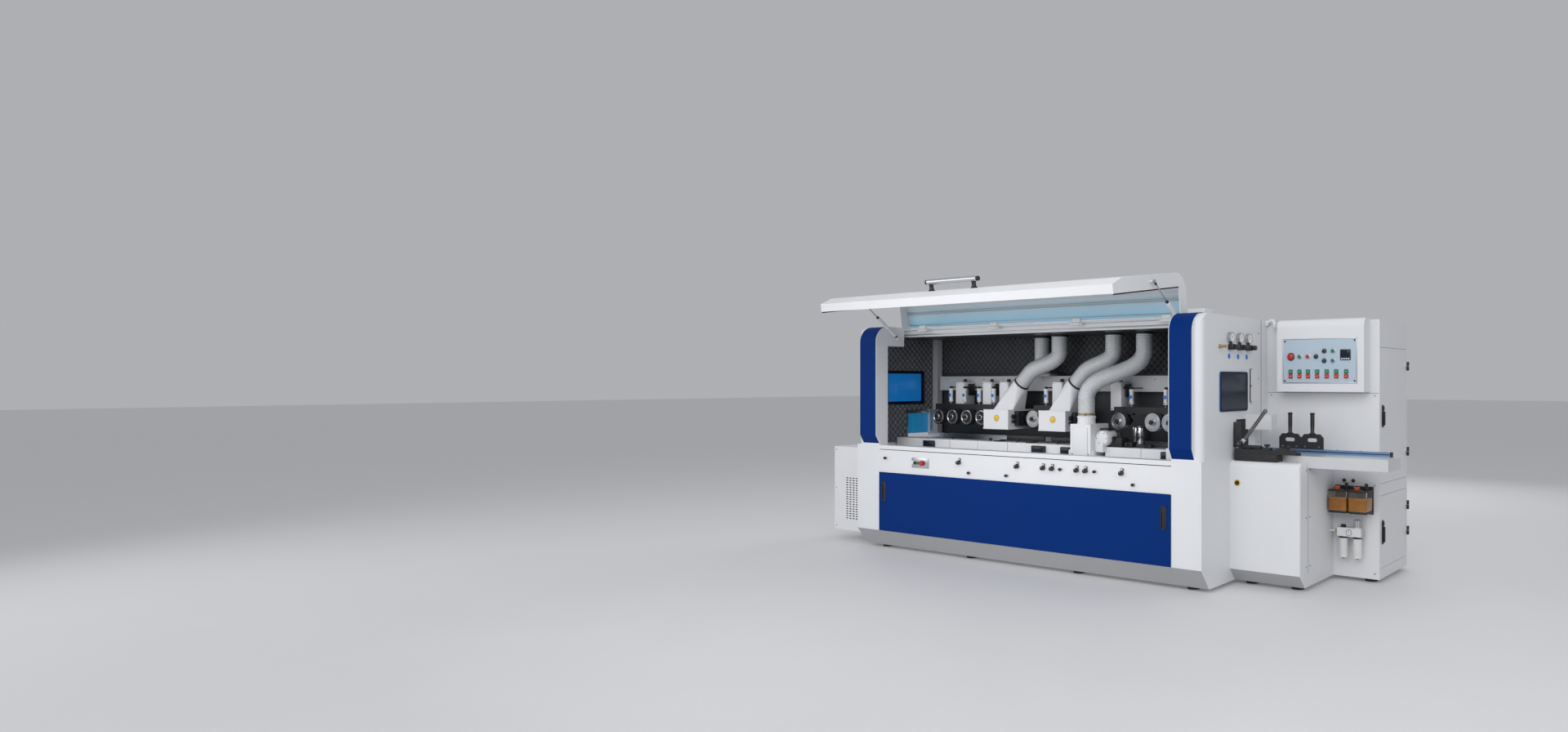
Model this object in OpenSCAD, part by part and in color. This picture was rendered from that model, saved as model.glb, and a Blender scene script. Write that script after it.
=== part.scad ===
// Four sided moulder: a floor machine that planes all four faces of a timber in one pass.
// The datum is the infeed end face (X), the front plane (Y) and the floor (Z).

/* [Body] */
// Length of the main body between its end faces
body_l = 3018; // [2900:1:3200]
// Depth of the main body from the front plane to the back
body_d = 1450; // [1400:1:1510]
// Height of the body top above the floor
top_h = 1700; // [1680:1:1760]
// Height of the front sill above the floor
sill_h = 798; // [785:1:806]
// Height of the levelling feet
foot_h = 25; // [15:1:35]
// Height of the plinth slope
plinth_h = 128; // [100:1:140]
// Depth that the plinth slopes back
plinth_d = 99; // [60:1:120]
// Width of the outfeed pillar
pillar_out_w = 247; // [220:1:270]
// Width of the infeed pillar
pillar_in_w = 208; // [190:1:230]
// Depth of the pillar columns behind the front plane
column_d = 82; // [70:1:95]
// Thickness of the end walls
end_t = 45; // [35:1:55]
// Sheet thickness of the casings
sheet = 4; // [3:0.5:6]
// Plate thickness of the base
plate = 12; // [8:1:15]

/* [Front panel] */
// Height of the lift-off front panel
panel_h = 443; // [400:1:460]
// Thickness of the panel face
panel_t = 6; // [4:0.5:10]
// Travel of the panel when it is pulled off
panel_pull = 120; // [60:1:200]

/* [Hood] */
// Gap between the hood and each pillar, which holds a gas strut
strut_gap = 40; // [38:1:50]
// Drop of the hood hinge below the body top
hinge_drop = 25; // [22:1:32]
// Distance of the hood hinge behind the front plane
hinge_y = 265; // [262:1:275]
// Drop of the closed hood below its hinge
hood_drop = 815; // [790:1:825]
// Sheet thickness of the hood
hood_t = 5; // [4:0.5:8]
// Depth of the hood end flanges
flange_d = 90; // [80:1:100]
// Angle that the hood is swung up
hood_open = 82; // [75:1:85]
// Length of the hood grip bar
grip_l = 455; // [380:1:520]
// Diameter of the hood grip bar
grip_d = 30; // [26:1:34]

/* [Work line] */
// Height of the work line above the floor
pass_h = 825; // [821:1:830]
// Distance of the work line's fence behind the front plane
fence_y = 690; // [686:1:698]
// Width of work that the machine takes
work_w = 205; // [190:1:212]
// Height of work that the machine takes
work_h = 117; // [110:1:124]
// Height of the bed above the deck
bed_h = 65; // [60:1:70]

/* [Feed] */
// Diameter of the feed rollers
roller_d = 125; // [115:1:130]
// Width of the feed rollers
roller_w = 50; // [45:1:55]
// Diameter of the roller shafts
roller_shaft_d = 24; // [20:1:30]
// Height of the feed beam
beam_h = 110; // [100:1:120]
// Diameter of the air cylinders
cylinder_d = 32; // [28:1:36]

/* [Spindles] */
// Diameter of the horizontal cutter heads
cutter_d = 120; // [110:1:125]
// Diameter of the upright cutter heads
side_cutter_d = 104; // [96:1:110]
// Diameter of the spindle shafts
spindle_d = 40; // [34:1:44]
// Diameter of the belt pulleys
pulley_d = 84; // [76:1:90]
// Diameter of the spindle motors
motor_d = 190; // [170:1:200]

/* [Dust suction] */
// Diameter of the dust hoses over their ribs
hose_d = 118; // [112:1:119]
// Pitch of the hose ribs
rib_pitch = 14; // [13:0.5:18]
// Depth of the hose ribs
rib_depth = 4; // [3:0.5:5]
// Wall of the hose between its ribs
hose_wall = 3; // [2:0.5:4]
// Diameter of the dust spigots on the roof
spigot_d = 130; // [126:1:136]
// Height of the dust spigots above the body top
spigot_h = 90; // [70:1:120]

/* [Cabinets] */
// Width of the control cabinet along the line
control_w = 770; // [740:1:800]
// Distance of the control cabinet behind the front plane
control_y = 935; // [925:1:945]
// Depth of the control cabinet
control_d = 583; // [560:1:600]
// Height of the control cabinet above the floor
control_h = 1675; // [1665:1:1700]
// Width of the infeed cabinet along the line
infeed_w = 468; // [450:1:490]
// Distance of the infeed cabinet behind the front plane
infeed_y = 374; // [365:1:384]
// Height of the infeed cabinet above the floor
infeed_h = 787; // [780:1:795]
// Length of the infeed table from the end face
table_l = 969; // [940:1:1000]
// Width of the outfeed cabinet along the line
outfeed_w = 448; // [420:1:480]
// Depth of the outfeed cabinet
outfeed_d = 550; // [520:1:570]
// Distance of the outfeed cabinet behind the front plane
outfeed_y = 150; // [130:1:170]
// Height of the outfeed cabinet's own casing
outfeed_h = 670; // [640:1:690]

/* [Console] */
// Width of the console box
console_w = 587; // [575:1:600]
// Depth of the console box
console_d = 120; // [110:1:128]
// Height of the console box
console_h = 470; // [455:1:475]
// Width of the console's panel plate
plate_w = 495; // [480:1:505]
// Height of the console's panel plate
plate_h = 282; // [270:1:290]
// Travel of the push buttons
button_travel = 4; // [3:0.5:5]

/* [Hidden] */
$fn = 48;

// Overrun of every cut
over = 2;
// Radial running clearance of shafts and pins
run_gap = 0.08;
// Clearance between pieces that pass each other
pass_gap = 1;

// Derived levels
base_z = foot_h;
panel_z = foot_h + plinth_h;
deck_h = pass_h - bed_h;
lift_z = pass_h + work_h;
roller_z = lift_z + roller_d/2;
top_cutter_z = lift_z + cutter_d/2;
arm_h = 147;
arm_z = top_h - arm_h;
roof_h = 65;
roof_drop = 10;
roof_top = top_h - roof_drop;
roof_z = roof_top - roof_h;
hinge_h = top_h - hinge_drop;

// Derived places along Y
work_y = fence_y - work_w;
back_gap = 140;
back_y = fence_y + back_gap;
arm_y = 250;

// Foam lining
foam_t = 20;

// Row of pressure regulators on the infeed end wall
regulator_z_share = 0.7691;
regulator_z = pass_h + regulator_z_share*(top_h - pass_h);
regulator_w = 34;

// Windows in the end walls, with their height from the room under the regulators
window_y = 241;
window_w = 364;
window_z_rise = 280;
window_z = pass_h + window_z_rise;
window_room_share = 0.601;
window_h = window_room_share*(regulator_z - regulator_w/2 - window_z);
window_r = 18;
window_lap = 12;
window_t = 6;

// Work mouths in the end walls
mouth_side = 22;
mouth_y = work_y - mouth_side;
mouth_w = work_w + 3*mouth_side;
mouth_sink = 25;
mouth_z = pass_h - mouth_sink;
mouth_h = 240;

// Places along the line, as shares of the body length from the infeed end face
roller_shares = [0.7243, 0.5543, 0.3038, 0.2117];
rollers = 8;
roller_gap = 25;
pair_gap = 9;
cylinder_shift = 52;
column_shares = [0.8305, 0.7368, 0.6795, 0.5085, 0.3353];
top_spindle_shares = [0.6491, 0.474];
front_spindle_share = 0.3545;
rear_spindle_share = 0.2975;
bottom_spindle_share = 0.1093;
hose_top_shares = [0.5785, 0.4967, 0.338, 0.2525];
hose_end_shares = [0.5785, 0.603, 0.4374, 0.3545];
knob_shares = [0.6451, 0.4685, 0.394, 0.3691, 0.3025, 0.279, 0.1869];
small_knob_shares = [0.894, 0.614, 0.4997, 0.3466, 0.2555, 0.1587];
small_knob_low_shares = [0, 1, 1, 0, 0, 1];
sill_plate_share = 0.7744;
foot_shares = [0.05, 0.34, 0.66, 0.95];

// Rollers 1 to 4 stand at one pitch and 7 and 8 are a close pair
function roller_x(i) = i < 4 ? -roller_shares[0]*body_l - (3 - i)*(roller_d + roller_gap)
    : i < 7 ? -roller_shares[i - 3]*body_l
    : -roller_shares[3]*body_l + roller_d + pair_gap;

// Hood outline, measured from the hinge with the hood closed
cheek_out = 35;
hood_front = -hinge_y - cheek_out;
hood_rise = 15;
hood_r = 120;
chamfer_h = 100;
chamfer_in = 32;
lip_d = 55;
hood_x0 = -body_l + pillar_out_w + strut_gap;
hood_x1 = -pillar_in_w - strut_gap;
hood_l = hood_x1 - hood_x0;

// Turns a closed hood point into its place with the hood swung up
function swung_y(y, z) = y*cos(hood_open) + z*sin(hood_open);
function swung_z(y, z) = -y*sin(hood_open) + z*cos(hood_open);
lip_y = hinge_y + swung_y(hood_front + chamfer_in, -hood_drop);

// Origin: middle of the bottom of the machine's own box
min_x = -body_l - outfeed_w;
max_x = table_l;
min_y = lip_y;
max_y = control_y + control_d;
origin = [-(min_x + max_x)/2, -(min_y + max_y)/2, 0];

// Moves a piece from the machine datum to the origin
module placed() {
    translate(origin)
        children();
}

// Box between two corners
module span(a, b) {
    translate(a)
        cube(b - a);
}

// Cylinder along X, Y or Z from its start point
module bar_x(at, d, l) {
    translate(at)
        rotate([0, 90, 0])
            cylinder(d = d, h = l);
}

module bar_y(at, d, l) {
    translate(at)
        rotate([-90, 0, 0])
            cylinder(d = d, h = l);
}

module bar_z(at, d, l) {
    translate(at)
        cylinder(d = d, h = l);
}

// Removes the front top edge along X so that it is left rounded
module front_top_cut(x0, x1, y, z, r) {
    difference() {
        span([x0 - over, y - over, z - r], [x1 + over, y + r, z + over]);
        bar_x([x0 - 2*over, y + r, z - r], 2*r, x1 - x0 + 4*over);
    }
}

// Removes an upright edge so that it is left rounded; side is -1 or 1 along X
module upright_cut(x, y, z0, z1, r, side) {
    difference() {
        translate([x - side*r, y - over, z0 - over])
            mirror([side < 0 ? 1 : 0, 0, 0])
                cube([r + over, r + over, z1 - z0 + 2*over]);
        bar_z([x - side*r, y + r, z0 - 2*over], 2*r, z1 - z0 + 4*over);
    }
}

// Block across an end wall with rounded corners
module wall_window(x0, x1, y, z, w, h, r) {
    span([x0, y + r, z], [x1, y + w - r, z + h]);
    span([x0, y, z + r], [x1, y + w, z + h - r]);
    for (cy = [y + r, y + w - r])
        for (cz = [z + r, z + h - r])
            bar_x([x0, cy, cz], 2*r, x1 - x0);
}

// Outline in the YZ plane carried along X
module along_x(x0, x1) {
    translate([x0, 0, 0])
        rotate([90, 0, 90])
            linear_extrude(x1 - x0)
                children();
}

// Base cabinet values
panel_lap = 22;
groove_h = 5;
groove_d = 5;
groove_drop = 34;
shaft_hole_d_step = 20;
shaft_hole_d = spindle_d + shaft_hole_d_step;
slot_w_step = 28;
slot_w = cutter_d + slot_w_step;

// Pillar and cheek values
cheek_t = 4;
cheek_r = 120;
slope_z0 = sill_h - 2*sheet;
slope_rise = 85;
slope_z1 = slope_z0 + slope_rise;
edge_out_w = 70;
edge_in_w = 50;
edge_top_r = 100;

// Rear housing values
rear_wall_t = 12;
belt_w = 26;
motor_l = 300;
motor_gap = 30;
belt_y = body_d - sheet - motor_l - motor_gap - belt_w;
vent_groups = 5;
vent_rows = 9;
vent_l = 260;
vent_h = 10;
vent_pitch = 26;
vent_drop = 330;

// Bore of every hose fitting
fitting_bore_d = hose_d - 2*rib_depth - 2*hose_wall;

// Roof and hinge values
roof_y_step = 40;
roof_y = hinge_y + roof_y_step;
hinge_shares = [0.06, 0.35, 0.65, 0.94];
lug_gap = 70;
lug_w = 15;
lug_half = 8;
hinge_pin_d = 12;
knuckle_d = 24;
hose_y_step = 110;
hose_y = fence_y - hose_y_step;
back_hose_y = fence_y;

// Chamber values
chamber_x0 = -body_l + end_t + foam_t;
chamber_x1 = -end_t - foam_t;
bed_plate_t = 20;
bed_front = 345;
block_d = 120;
block_top = 10;
blocks = 10;
block_seam = 4;
bed_back_step = 30;
bed_back = back_y - bed_back_step;
front_spindle_y_step = 28;
front_spindle_y = work_y - side_cutter_d/2 - front_spindle_y_step;
rear_spindle_y_step = 4;
rear_spindle_y = fence_y + side_cutter_d/2 - rear_spindle_y_step;
front_spindle_x = -front_spindle_share*body_l;
rear_spindle_x = -rear_spindle_share*body_l;
bottom_spindle_x = -bottom_spindle_share*body_l;
side_hood_w = 170;
fence_t = 20;
fence_h = 35;
plate_lip = 15;
plate_hole_add = 8;

module base_cabinet() {
    color("whitesmoke") placed()
        difference() {
            along_x(-body_l, 0)
                polygon([[plinth_d, base_z], [0, panel_z], [0, sill_h], [body_d, sill_h],
                    [body_d, base_z]]);
            along_x(-body_l + plate, -plate)
                polygon([[plinth_d + plate, base_z + plate], [plate, panel_z],
                    [plate, deck_h - plate], [body_d - plate, deck_h - plate],
                    [body_d - plate, base_z + plate]]);
            span([-body_l + end_t, column_d, deck_h], [-end_t, back_y, sill_h + over]);
            span([-body_l + pillar_out_w + panel_lap, -over, panel_z + panel_lap],
                [-pillar_in_w - panel_lap, plate + over, panel_z + panel_h - panel_lap]);
            span([-body_l + pillar_out_w, -over, sill_h - groove_drop],
                [-pillar_in_w, groove_d, sill_h - groove_drop + groove_h]);
            bar_y([sill_stop_x, -over, sill_stop_z], mushroom_stem_d + 2*run_gap, plate + 2*over);
            bar_z([front_spindle_x, front_spindle_y, deck_h - plate - over], shaft_hole_d, plate + 2*over);
            bar_z([rear_spindle_x, rear_spindle_y, deck_h - plate - over], shaft_hole_d, plate + 2*over);
            span([bottom_spindle_x - slot_w/2, work_y - plate_lip, deck_h - plate - over],
                [bottom_spindle_x + slot_w/2, belt_y + 2*belt_w, sill_h + over]);
        }
}

// Levelling feet: pads under the base and the two infeed side cabinets
foot_d = 80;
module levelling_feet() {
    color("dimgray") placed() {
        for (share = foot_shares)
            for (y = [plinth_d + foot_d, body_d - foot_d])
                bar_z([-share*body_l, y, 0], foot_d, foot_h);
        for (x = [foot_d, control_w - foot_d])
            for (y = [control_y + foot_d, control_y + control_d - foot_d])
                bar_z([x, y, 0], foot_d, foot_h);
        for (x = [foot_d, infeed_w - foot_d])
            bar_z([x, infeed_y + 2*foot_d, 0], foot_d, foot_h);
    }
}

// Side outline of a pillar whose front and top lie inset from the cheek face
module column_outline(inset) {
    polygon([[column_d, sill_h], [0, sill_h], [0, slope_z0 + slope_rise/4],
        [inset - cheek_out, slope_z1], [inset - cheek_out, top_h - inset],
        [arm_y, top_h - inset], [arm_y, arm_z], [column_d, arm_z]]);
}

// End frame in its own frame: x runs inward from the outer end face
module end_frame(w, edge_w) {
    difference() {
        union() {
            difference() {
                along_x(edge_w, w - sheet)
                    column_outline(cheek_t);
                front_top_cut(edge_w, w - sheet, cheek_t - cheek_out, top_h - cheek_t, cheek_r - cheek_t);
            }
            difference() {
                along_x(w - sheet, w)
                    column_outline(0);
                front_top_cut(w - sheet, w, -cheek_out, top_h, cheek_r);
            }
            difference() {
                union() {
                    span([0, 0, sill_h], [edge_w, column_d, top_h - cheek_t]);
                    span([0, column_d, arm_z], [edge_w, arm_y, top_h - cheek_t]);
                }
                front_top_cut(0, edge_w, 0, top_h - cheek_t, edge_top_r);
                upright_cut(0, 0, sill_h, top_h, edge_w - sheet, -1);
            }
            span([0, column_d, sill_h], [end_t, back_y, top_h - cheek_t]);
            translate([w, 0, 0])
                pillar_stud();
        }
        span([end_t, sheet, sill_h - over], [w - sheet, column_d - sheet, arm_z + arm_h/2]);
        wall_window(-over, end_t + over, window_y, window_z, window_w, window_h, window_r);
        span([-over, mouth_y, sill_h - over], [end_t + over, mouth_y + mouth_w, mouth_z + mouth_h]);
    }
}

module outfeed_frame() {
    color("whitesmoke") placed()
        translate([-body_l, 0, 0])
            end_frame(pillar_out_w, edge_out_w);
}

// The infeed frame also has the roof cap box and the guard over the mouth
cap_l = 120;
cap_d = 100;
cap_h = 30;
cap_inset = 58;
guard_l = 180;
guard_h = 95;
guard_wall = 5;
guard_drop = 20;
module infeed_frame() {
    guard_z = mouth_z + mouth_h - guard_drop;
    color("whitesmoke") placed() {
        mirror([1, 0, 0])
            end_frame(pillar_in_w, edge_in_w);
        span([-cap_inset - cap_l, arm_y - cap_d, top_h], [-cap_inset, arm_y, top_h + cap_h]);
        difference() {
            span([0, mouth_y + mouth_w/2, guard_z - guard_h/2], [guard_l, fence_y, guard_z + guard_h/2]);
            span([-over, mouth_y + mouth_w/2 + guard_wall, guard_z - guard_h/2 - over],
                [guard_l - guard_wall, fence_y - guard_wall, guard_z + guard_h/2 - guard_wall]);
        }
    }
}

// Blue skin that wraps the front and top of a pillar, x measured inward
module cheek(x0, x1) {
    difference() {
        along_x(x0, x1)
            polygon([[0, slope_z0 + slope_rise/4], [-cheek_out, slope_z1], [-cheek_out, top_h],
                [arm_y, top_h],
                [arm_y, slope_z0 + slope_rise/4]]);
        front_top_cut(x0, x1, -cheek_out, top_h, cheek_r);
        difference() {
            along_x(x0 - over, x1 + over)
                polygon([[0, slope_z0], [0, slope_z0 + slope_rise/4], [cheek_t - cheek_out, slope_z1],
                    [cheek_t - cheek_out, top_h - cheek_t], [arm_y + over, top_h - cheek_t],
                    [arm_y + over, slope_z0]]);
            front_top_cut(x0 - over, x1 + over, cheek_t - cheek_out, top_h - cheek_t, cheek_r - cheek_t);
        }
    }
}

module pillar_cheeks() {
    color("midnightblue") placed() {
        translate([-body_l, 0, 0])
            cheek(edge_out_w, pillar_out_w - sheet);
        mirror([1, 0, 0])
            cheek(edge_in_w, pillar_in_w - sheet);
    }
}

module rear_housing() {
    vent_step = body_l/vent_groups;
    color("whitesmoke") placed()
        difference() {
            span([-body_l, back_y, sill_h], [0, body_d, roof_top]);
            span([-body_l + sheet, back_y + rear_wall_t, sill_h - over],
                [-sheet, body_d - sheet, roof_top - sheet]);
            for (share = top_spindle_shares)
                bar_y([-share*body_l, back_y - over, top_cutter_z], shaft_hole_d, rear_wall_t + 2*over);
            for (i = [0:vent_groups - 1])
                for (j = [0:vent_rows - 1])
                    translate([-(i + 1/2)*vent_step - vent_l/2, body_d - sheet - over,
                        roof_top - vent_drop + j*vent_pitch])
                        cube([vent_l, sheet + 2*over, vent_h]);
        }
}

// Lugs and hinge pin that carry one hood knuckle
module hinge_lugs(x) {
    for (side = [-1, 1])
        translate([x + side*(lug_gap + lug_w)/2 - lug_w/2, hinge_y - lug_half, hinge_h - lug_half])
            cube([lug_w, roof_y - hinge_y + lug_half, 2*lug_half]);
    bar_x([x - lug_gap/2, hinge_y, hinge_h], hinge_pin_d, lug_gap);
}

function hose_top_y(i) = i == 0 ? back_hose_y : hose_y;

module roof_plenum() {
    color("gainsboro") placed()
        difference() {
            union() {
                difference() {
                    span([-body_l + end_t, roof_y, roof_z], [-end_t, back_y, roof_top]);
                    span([-body_l, roof_y + sheet, roof_z + sheet], [0, back_y - sheet, roof_top - sheet]);
                }
                for (i = [0:len(hose_top_shares) - 1])
                    bar_z([-hose_top_shares[i]*body_l, hose_top_y(i), roof_z], spigot_d,
                        top_h + spigot_h - roof_z);
                for (share = hinge_shares)
                    hinge_lugs(hood_x0 + share*hood_l);
            }
            for (i = [0:len(hose_top_shares) - 1])
                bar_z([-hose_top_shares[i]*body_l, hose_top_y(i), roof_z - over], fitting_bore_d,
                    top_h + spigot_h - roof_z + 2*over);
        }
}

// Feed beam values
beam_y_step = 30;
beam_y = fence_y + beam_y_step;
beam_z_step = 268;
beam_z = lift_z + beam_z_step;
beam_inset = 110;

module acoustic_lining() {
    color("dimgray") placed() {
        for (x = [-body_l + end_t, -end_t - foam_t])
            difference() {
                span([x, column_d, sill_h], [x + foam_t, back_y, roof_z]);
                wall_window(x - over, x + foam_t + over, window_y - window_lap, window_z - window_lap,
                    window_w + 2*window_lap, window_h + 2*window_lap, window_r);
                span([x - over, mouth_y - window_lap, sill_h - over],
                    [x + foam_t + over, mouth_y + mouth_w + window_lap, mouth_z + mouth_h + window_lap]);
                span([x - over, column_d - over, arm_z], [x + foam_t + over, arm_y, roof_z + over]);
            }
        span([chamber_x0, back_y - foam_t, beam_z + beam_h + foam_t], [chamber_x1, back_y, roof_z]);
    }
}

module view_windows() {
    color("steelblue", 0.6) placed()
        for (x = [-body_l - window_t, 0])
            wall_window(x, x + window_t, window_y - window_lap, window_z - window_lap,
                window_w + 2*window_lap, window_h + 2*window_lap, window_r);
}

module machine_bed() {
    pitch = (chamber_x1 - chamber_x0)/blocks;
    clear = (pitch + side_hood_w)/2;
    color("white") placed()
        difference() {
            union() {
                span([chamber_x0, bed_front + block_d, deck_h], [chamber_x1, bed_back, pass_h - bed_plate_t]);
                for (i = [0:blocks - 1]) {
                    x = chamber_x0 + (i + 1/2)*pitch;
                    if (abs(x - front_spindle_x) > clear)
                        span([x - (pitch - block_seam)/2, bed_front, deck_h],
                            [x + (pitch - block_seam)/2, bed_front + block_d, pass_h + block_top]);
                }
            }
            bar_z([rear_spindle_x, rear_spindle_y, deck_h - over], shaft_hole_d, bed_h + 2*over);
            span([bottom_spindle_x - slot_w/2, work_y - plate_lip, deck_h - over],
                [bottom_spindle_x + slot_w/2, bed_back + over, pass_h + over]);
        }
}

module bed_plates() {
    color("lightsteelblue") placed() {
        span([-body_l, work_y - plate_lip, sill_h], [chamber_x0, fence_y + fence_t, pass_h]);
        difference() {
            span([chamber_x0, bed_front + block_d, pass_h - bed_plate_t],
                [chamber_x1, fence_y + fence_t, pass_h]);
            span([bottom_spindle_x - slot_w/2, work_y - plate_lip, pass_h - bed_plate_t - over],
                [bottom_spindle_x + slot_w/2, fence_y + fence_t + over, pass_h + over]);
            bar_z([rear_spindle_x, rear_spindle_y, pass_h - bed_plate_t - over],
                side_cutter_d + plate_hole_add,
                bed_plate_t + 2*over);
        }
        difference() {
            span([chamber_x0, fence_y, pass_h], [chamber_x1, fence_y + fence_t, pass_h + fence_h]);
            span([rear_spindle_x - side_cutter_d/2 - fence_t, fence_y - over, pass_h - over],
                [rear_spindle_x + side_cutter_d/2 + fence_t, fence_y + fence_t + over,
                    pass_h + fence_h + over]);
            span([bottom_spindle_x - slot_w/2, fence_y - over, pass_h - over],
                [bottom_spindle_x + slot_w/2, fence_y + fence_t + over, pass_h + fence_h + over]);
        }
    }
}

// Gear columns, corner post and roller rail values
column_w = 90;
column_h = 200;
column_y_step = 120;
column_y = beam_y - column_y_step;
column_top_step = 65;
column_top = beam_z + column_top_step;
post_w = 55;
rail_d = 45;
rail_h = 44;
rail_z_step = 16;
rail_z = column_top - column_h - rail_z_step;
rail_y = column_y - rail_d;
rail_spans_shares = [[0.905, 0.699], [0.57, 0.517], [0.331, 0.14]];
rail_rollers = [[0, 3], [4, 4], [5, 7]];
air_fitting = 16;
air_tube_d = 8;
boss_d = 70;
boss_l = 60;
web_w = 44;
rod_d = 10;
rod_l = 18;
cylinder_l = 105;
roller_hub_out = 15;

module feed_beam() {
    color("lightgray") placed() {
        span([chamber_x0 + beam_inset, beam_y, beam_z], [chamber_x1, back_y, beam_z + beam_h]);
        for (share = column_shares)
            span([-share*body_l - column_w/2, column_y, column_top - column_h],
                [-share*body_l + column_w/2, beam_y, column_top]);
        span([chamber_x0, bed_back - post_w, pass_h - bed_plate_t], [chamber_x0 + post_w, bed_back, roof_z]);
    }
}

module roller_arms() {
    color("black") placed()
        difference() {
            union() {
                for (i = [0:len(rail_rollers) - 1]) {
                    x0 = min(-rail_spans_shares[i][0]*body_l, roller_x(rail_rollers[i][0]) - boss_d/2);
                    x1 = max(-rail_spans_shares[i][1]*body_l,
                        roller_x(rail_rollers[i][1]) + cylinder_shift + cylinder_d);
                    span([x0, rail_y, rail_z], [x1, column_y, rail_z + rail_h]);
                }
                for (i = [0:rollers - 1]) {
                    x = roller_x(i);
                    bar_y([x, rail_y, roller_z], boss_d, boss_l);
                    span([x - web_w/2, rail_y, roller_z], [x + web_w/2, column_y, rail_z + rail_h]);
                }
            }
            for (i = [0:rollers - 1])
                bar_y([roller_x(i), rail_y - over, roller_z], roller_shaft_d + 2*run_gap, boss_l + 2*over);
        }
}

// Air cylinders, each with an elbow fitting and an air tube to the beam
module air_cylinders() {
    color("gainsboro") placed()
        for (i = [0:rollers - 1]) {
            at = [roller_x(i) + cylinder_shift, rail_y + rail_d/2, rail_z + rail_h];
            top = at + [0, 0, rod_l + cylinder_l];
            bar_z(at, rod_d, rod_l);
            bar_z(at + [0, 0, rod_l], cylinder_d, cylinder_l);
            span(top - [air_fitting/2, air_fitting/2, 0], top + [air_fitting/2, air_fitting/2, air_fitting]);
            bar_y(top + [0, 0, air_fitting/2], air_tube_d, beam_y - top[1]);
        }
}

module feed_roller(i) {
    x = roller_x(i);
    color("silver") placed() {
        bar_y([x, work_y, roller_z], roller_d, roller_w);
        bar_y([x, work_y - roller_hub_out, roller_z], 2*roller_shaft_d,
            roller_w + roller_hub_out + roller_shaft_d/2);
        bar_y([x, work_y - 2*roller_hub_out, roller_z], roller_shaft_d,
            rail_y + boss_l - work_y + 3*roller_hub_out);
    }
}

module feed_roller_1() feed_roller(0);
module feed_roller_2() feed_roller(1);
module feed_roller_3() feed_roller(2);
module feed_roller_4() feed_roller(3);
module feed_roller_5() feed_roller(4);
module feed_roller_6() feed_roller(5);
module feed_roller_7() feed_roller(6);
module feed_roller_8() feed_roller(7);

// Suction hood values
hood_y0_step = 85;
hood_y0 = work_y - hood_y0_step;
hood_wall = 4;
hood_half = 120;
hood_z0_step = 16;
hood_z0 = lift_z - hood_z0_step;
hood_top_step = 5;
hood_top = column_top - column_h - hood_top_step;
carrier_half = 70;
carrier_y_step = 4;
carrier_y = fence_y + fence_t + carrier_y_step;
duct_y0_step = 145;
duct_y0 = column_y - duct_y0_step;
duct_y1_step = 5;
duct_y1 = column_y - duct_y1_step;
duct_left = 68;
coupling_y_step = 160;
coupling_y = fence_y - coupling_y_step;
coupling_z_step = 318;
coupling_z = lift_z + coupling_z_step;
coupling_l = 30;
coupling_wall = 3;
coupling_tilt = 45;
side_hood_h = 230;
side_hood_y_step = 155;
side_hood_y = front_spindle_y - side_hood_y_step;
side_hood_back_step = 8;
side_hood_back = front_spindle_y + side_cutter_d/2 + side_hood_back_step;
collar_l = 55;
collar_y_step = 14;
collar_y = side_hood_y + hose_d/2 + collar_y_step;
socket_h = 20;

// Duct from the hood box to the tilted hose coupling, or its bore when shrunk
module top_duct(x, end_x, shrink) {
    hull() {
        span([x - duct_left + shrink, duct_y0 + shrink, hood_top - hood_wall - 2*shrink],
            [x + hood_half - shrink, duct_y1 - shrink, hood_top]);
        translate([end_x, coupling_y, coupling_z])
            rotate([0, coupling_tilt, 0])
                translate([0, 0, -coupling_l])
                    cylinder(d = shrink > 0 ? fitting_bore_d : hose_d + 2*coupling_wall,
                        h = shrink > 0 ? coupling_l + over : coupling_l, $fn = 32);
    }
}

module top_hood(x, end_x) {
    difference() {
        union() {
            span([x - hood_half, hood_y0, hood_z0], [x + hood_half, carrier_y, hood_top]);
            top_duct(x, end_x, 0);
        }
        span([x - hood_half + hood_wall, hood_y0 + hood_wall, hood_z0 - over],
            [x + hood_half - hood_wall, carrier_y + over, hood_top - hood_wall]);
        top_duct(x, end_x, hood_wall);
    }
}

module suction_hoods() {
    color("white") placed() {
        for (i = [0, 1])
            top_hood(-top_spindle_shares[i]*body_l, -hose_end_shares[i + 1]*body_l);
        difference() {
            union() {
                span([front_spindle_x - side_hood_w/2, side_hood_y, deck_h],
                    [front_spindle_x + side_hood_w/2, side_hood_back, deck_h + side_hood_h]);
                bar_z([front_spindle_x, collar_y, deck_h + side_hood_h], hose_d + 2*coupling_wall, collar_l);
            }
            span([front_spindle_x - side_hood_w/2 + hood_wall, side_hood_y + hood_wall, deck_h - over],
                [front_spindle_x + side_hood_w/2 - hood_wall, side_hood_back + over,
                    deck_h + side_hood_h - hood_wall]);
            bar_z([front_spindle_x, collar_y, deck_h + side_hood_h - hood_wall - over], fitting_bore_d,
                collar_l + hood_wall + 2*over);
        }
        difference() {
            bar_z([-hose_end_shares[0]*body_l, back_hose_y, beam_z + beam_h], spigot_d, socket_h);
            bar_z([-hose_end_shares[0]*body_l, back_hose_y, beam_z + beam_h - over], fitting_bore_d,
                socket_h + 2*over);
        }
    }
}

// Dust hoses: ribbed tubes swept along a straight run, a bend and a straight run
hose_sides = 8;
hose_bend = 100;
hose_bore_step = 6;

function bend_point(a, b, c, d, t) =
    pow(1 - t, 3)*a + 3*pow(1 - t, 2)*t*b + 3*(1 - t)*t*t*c + pow(t, 3)*d;

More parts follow.
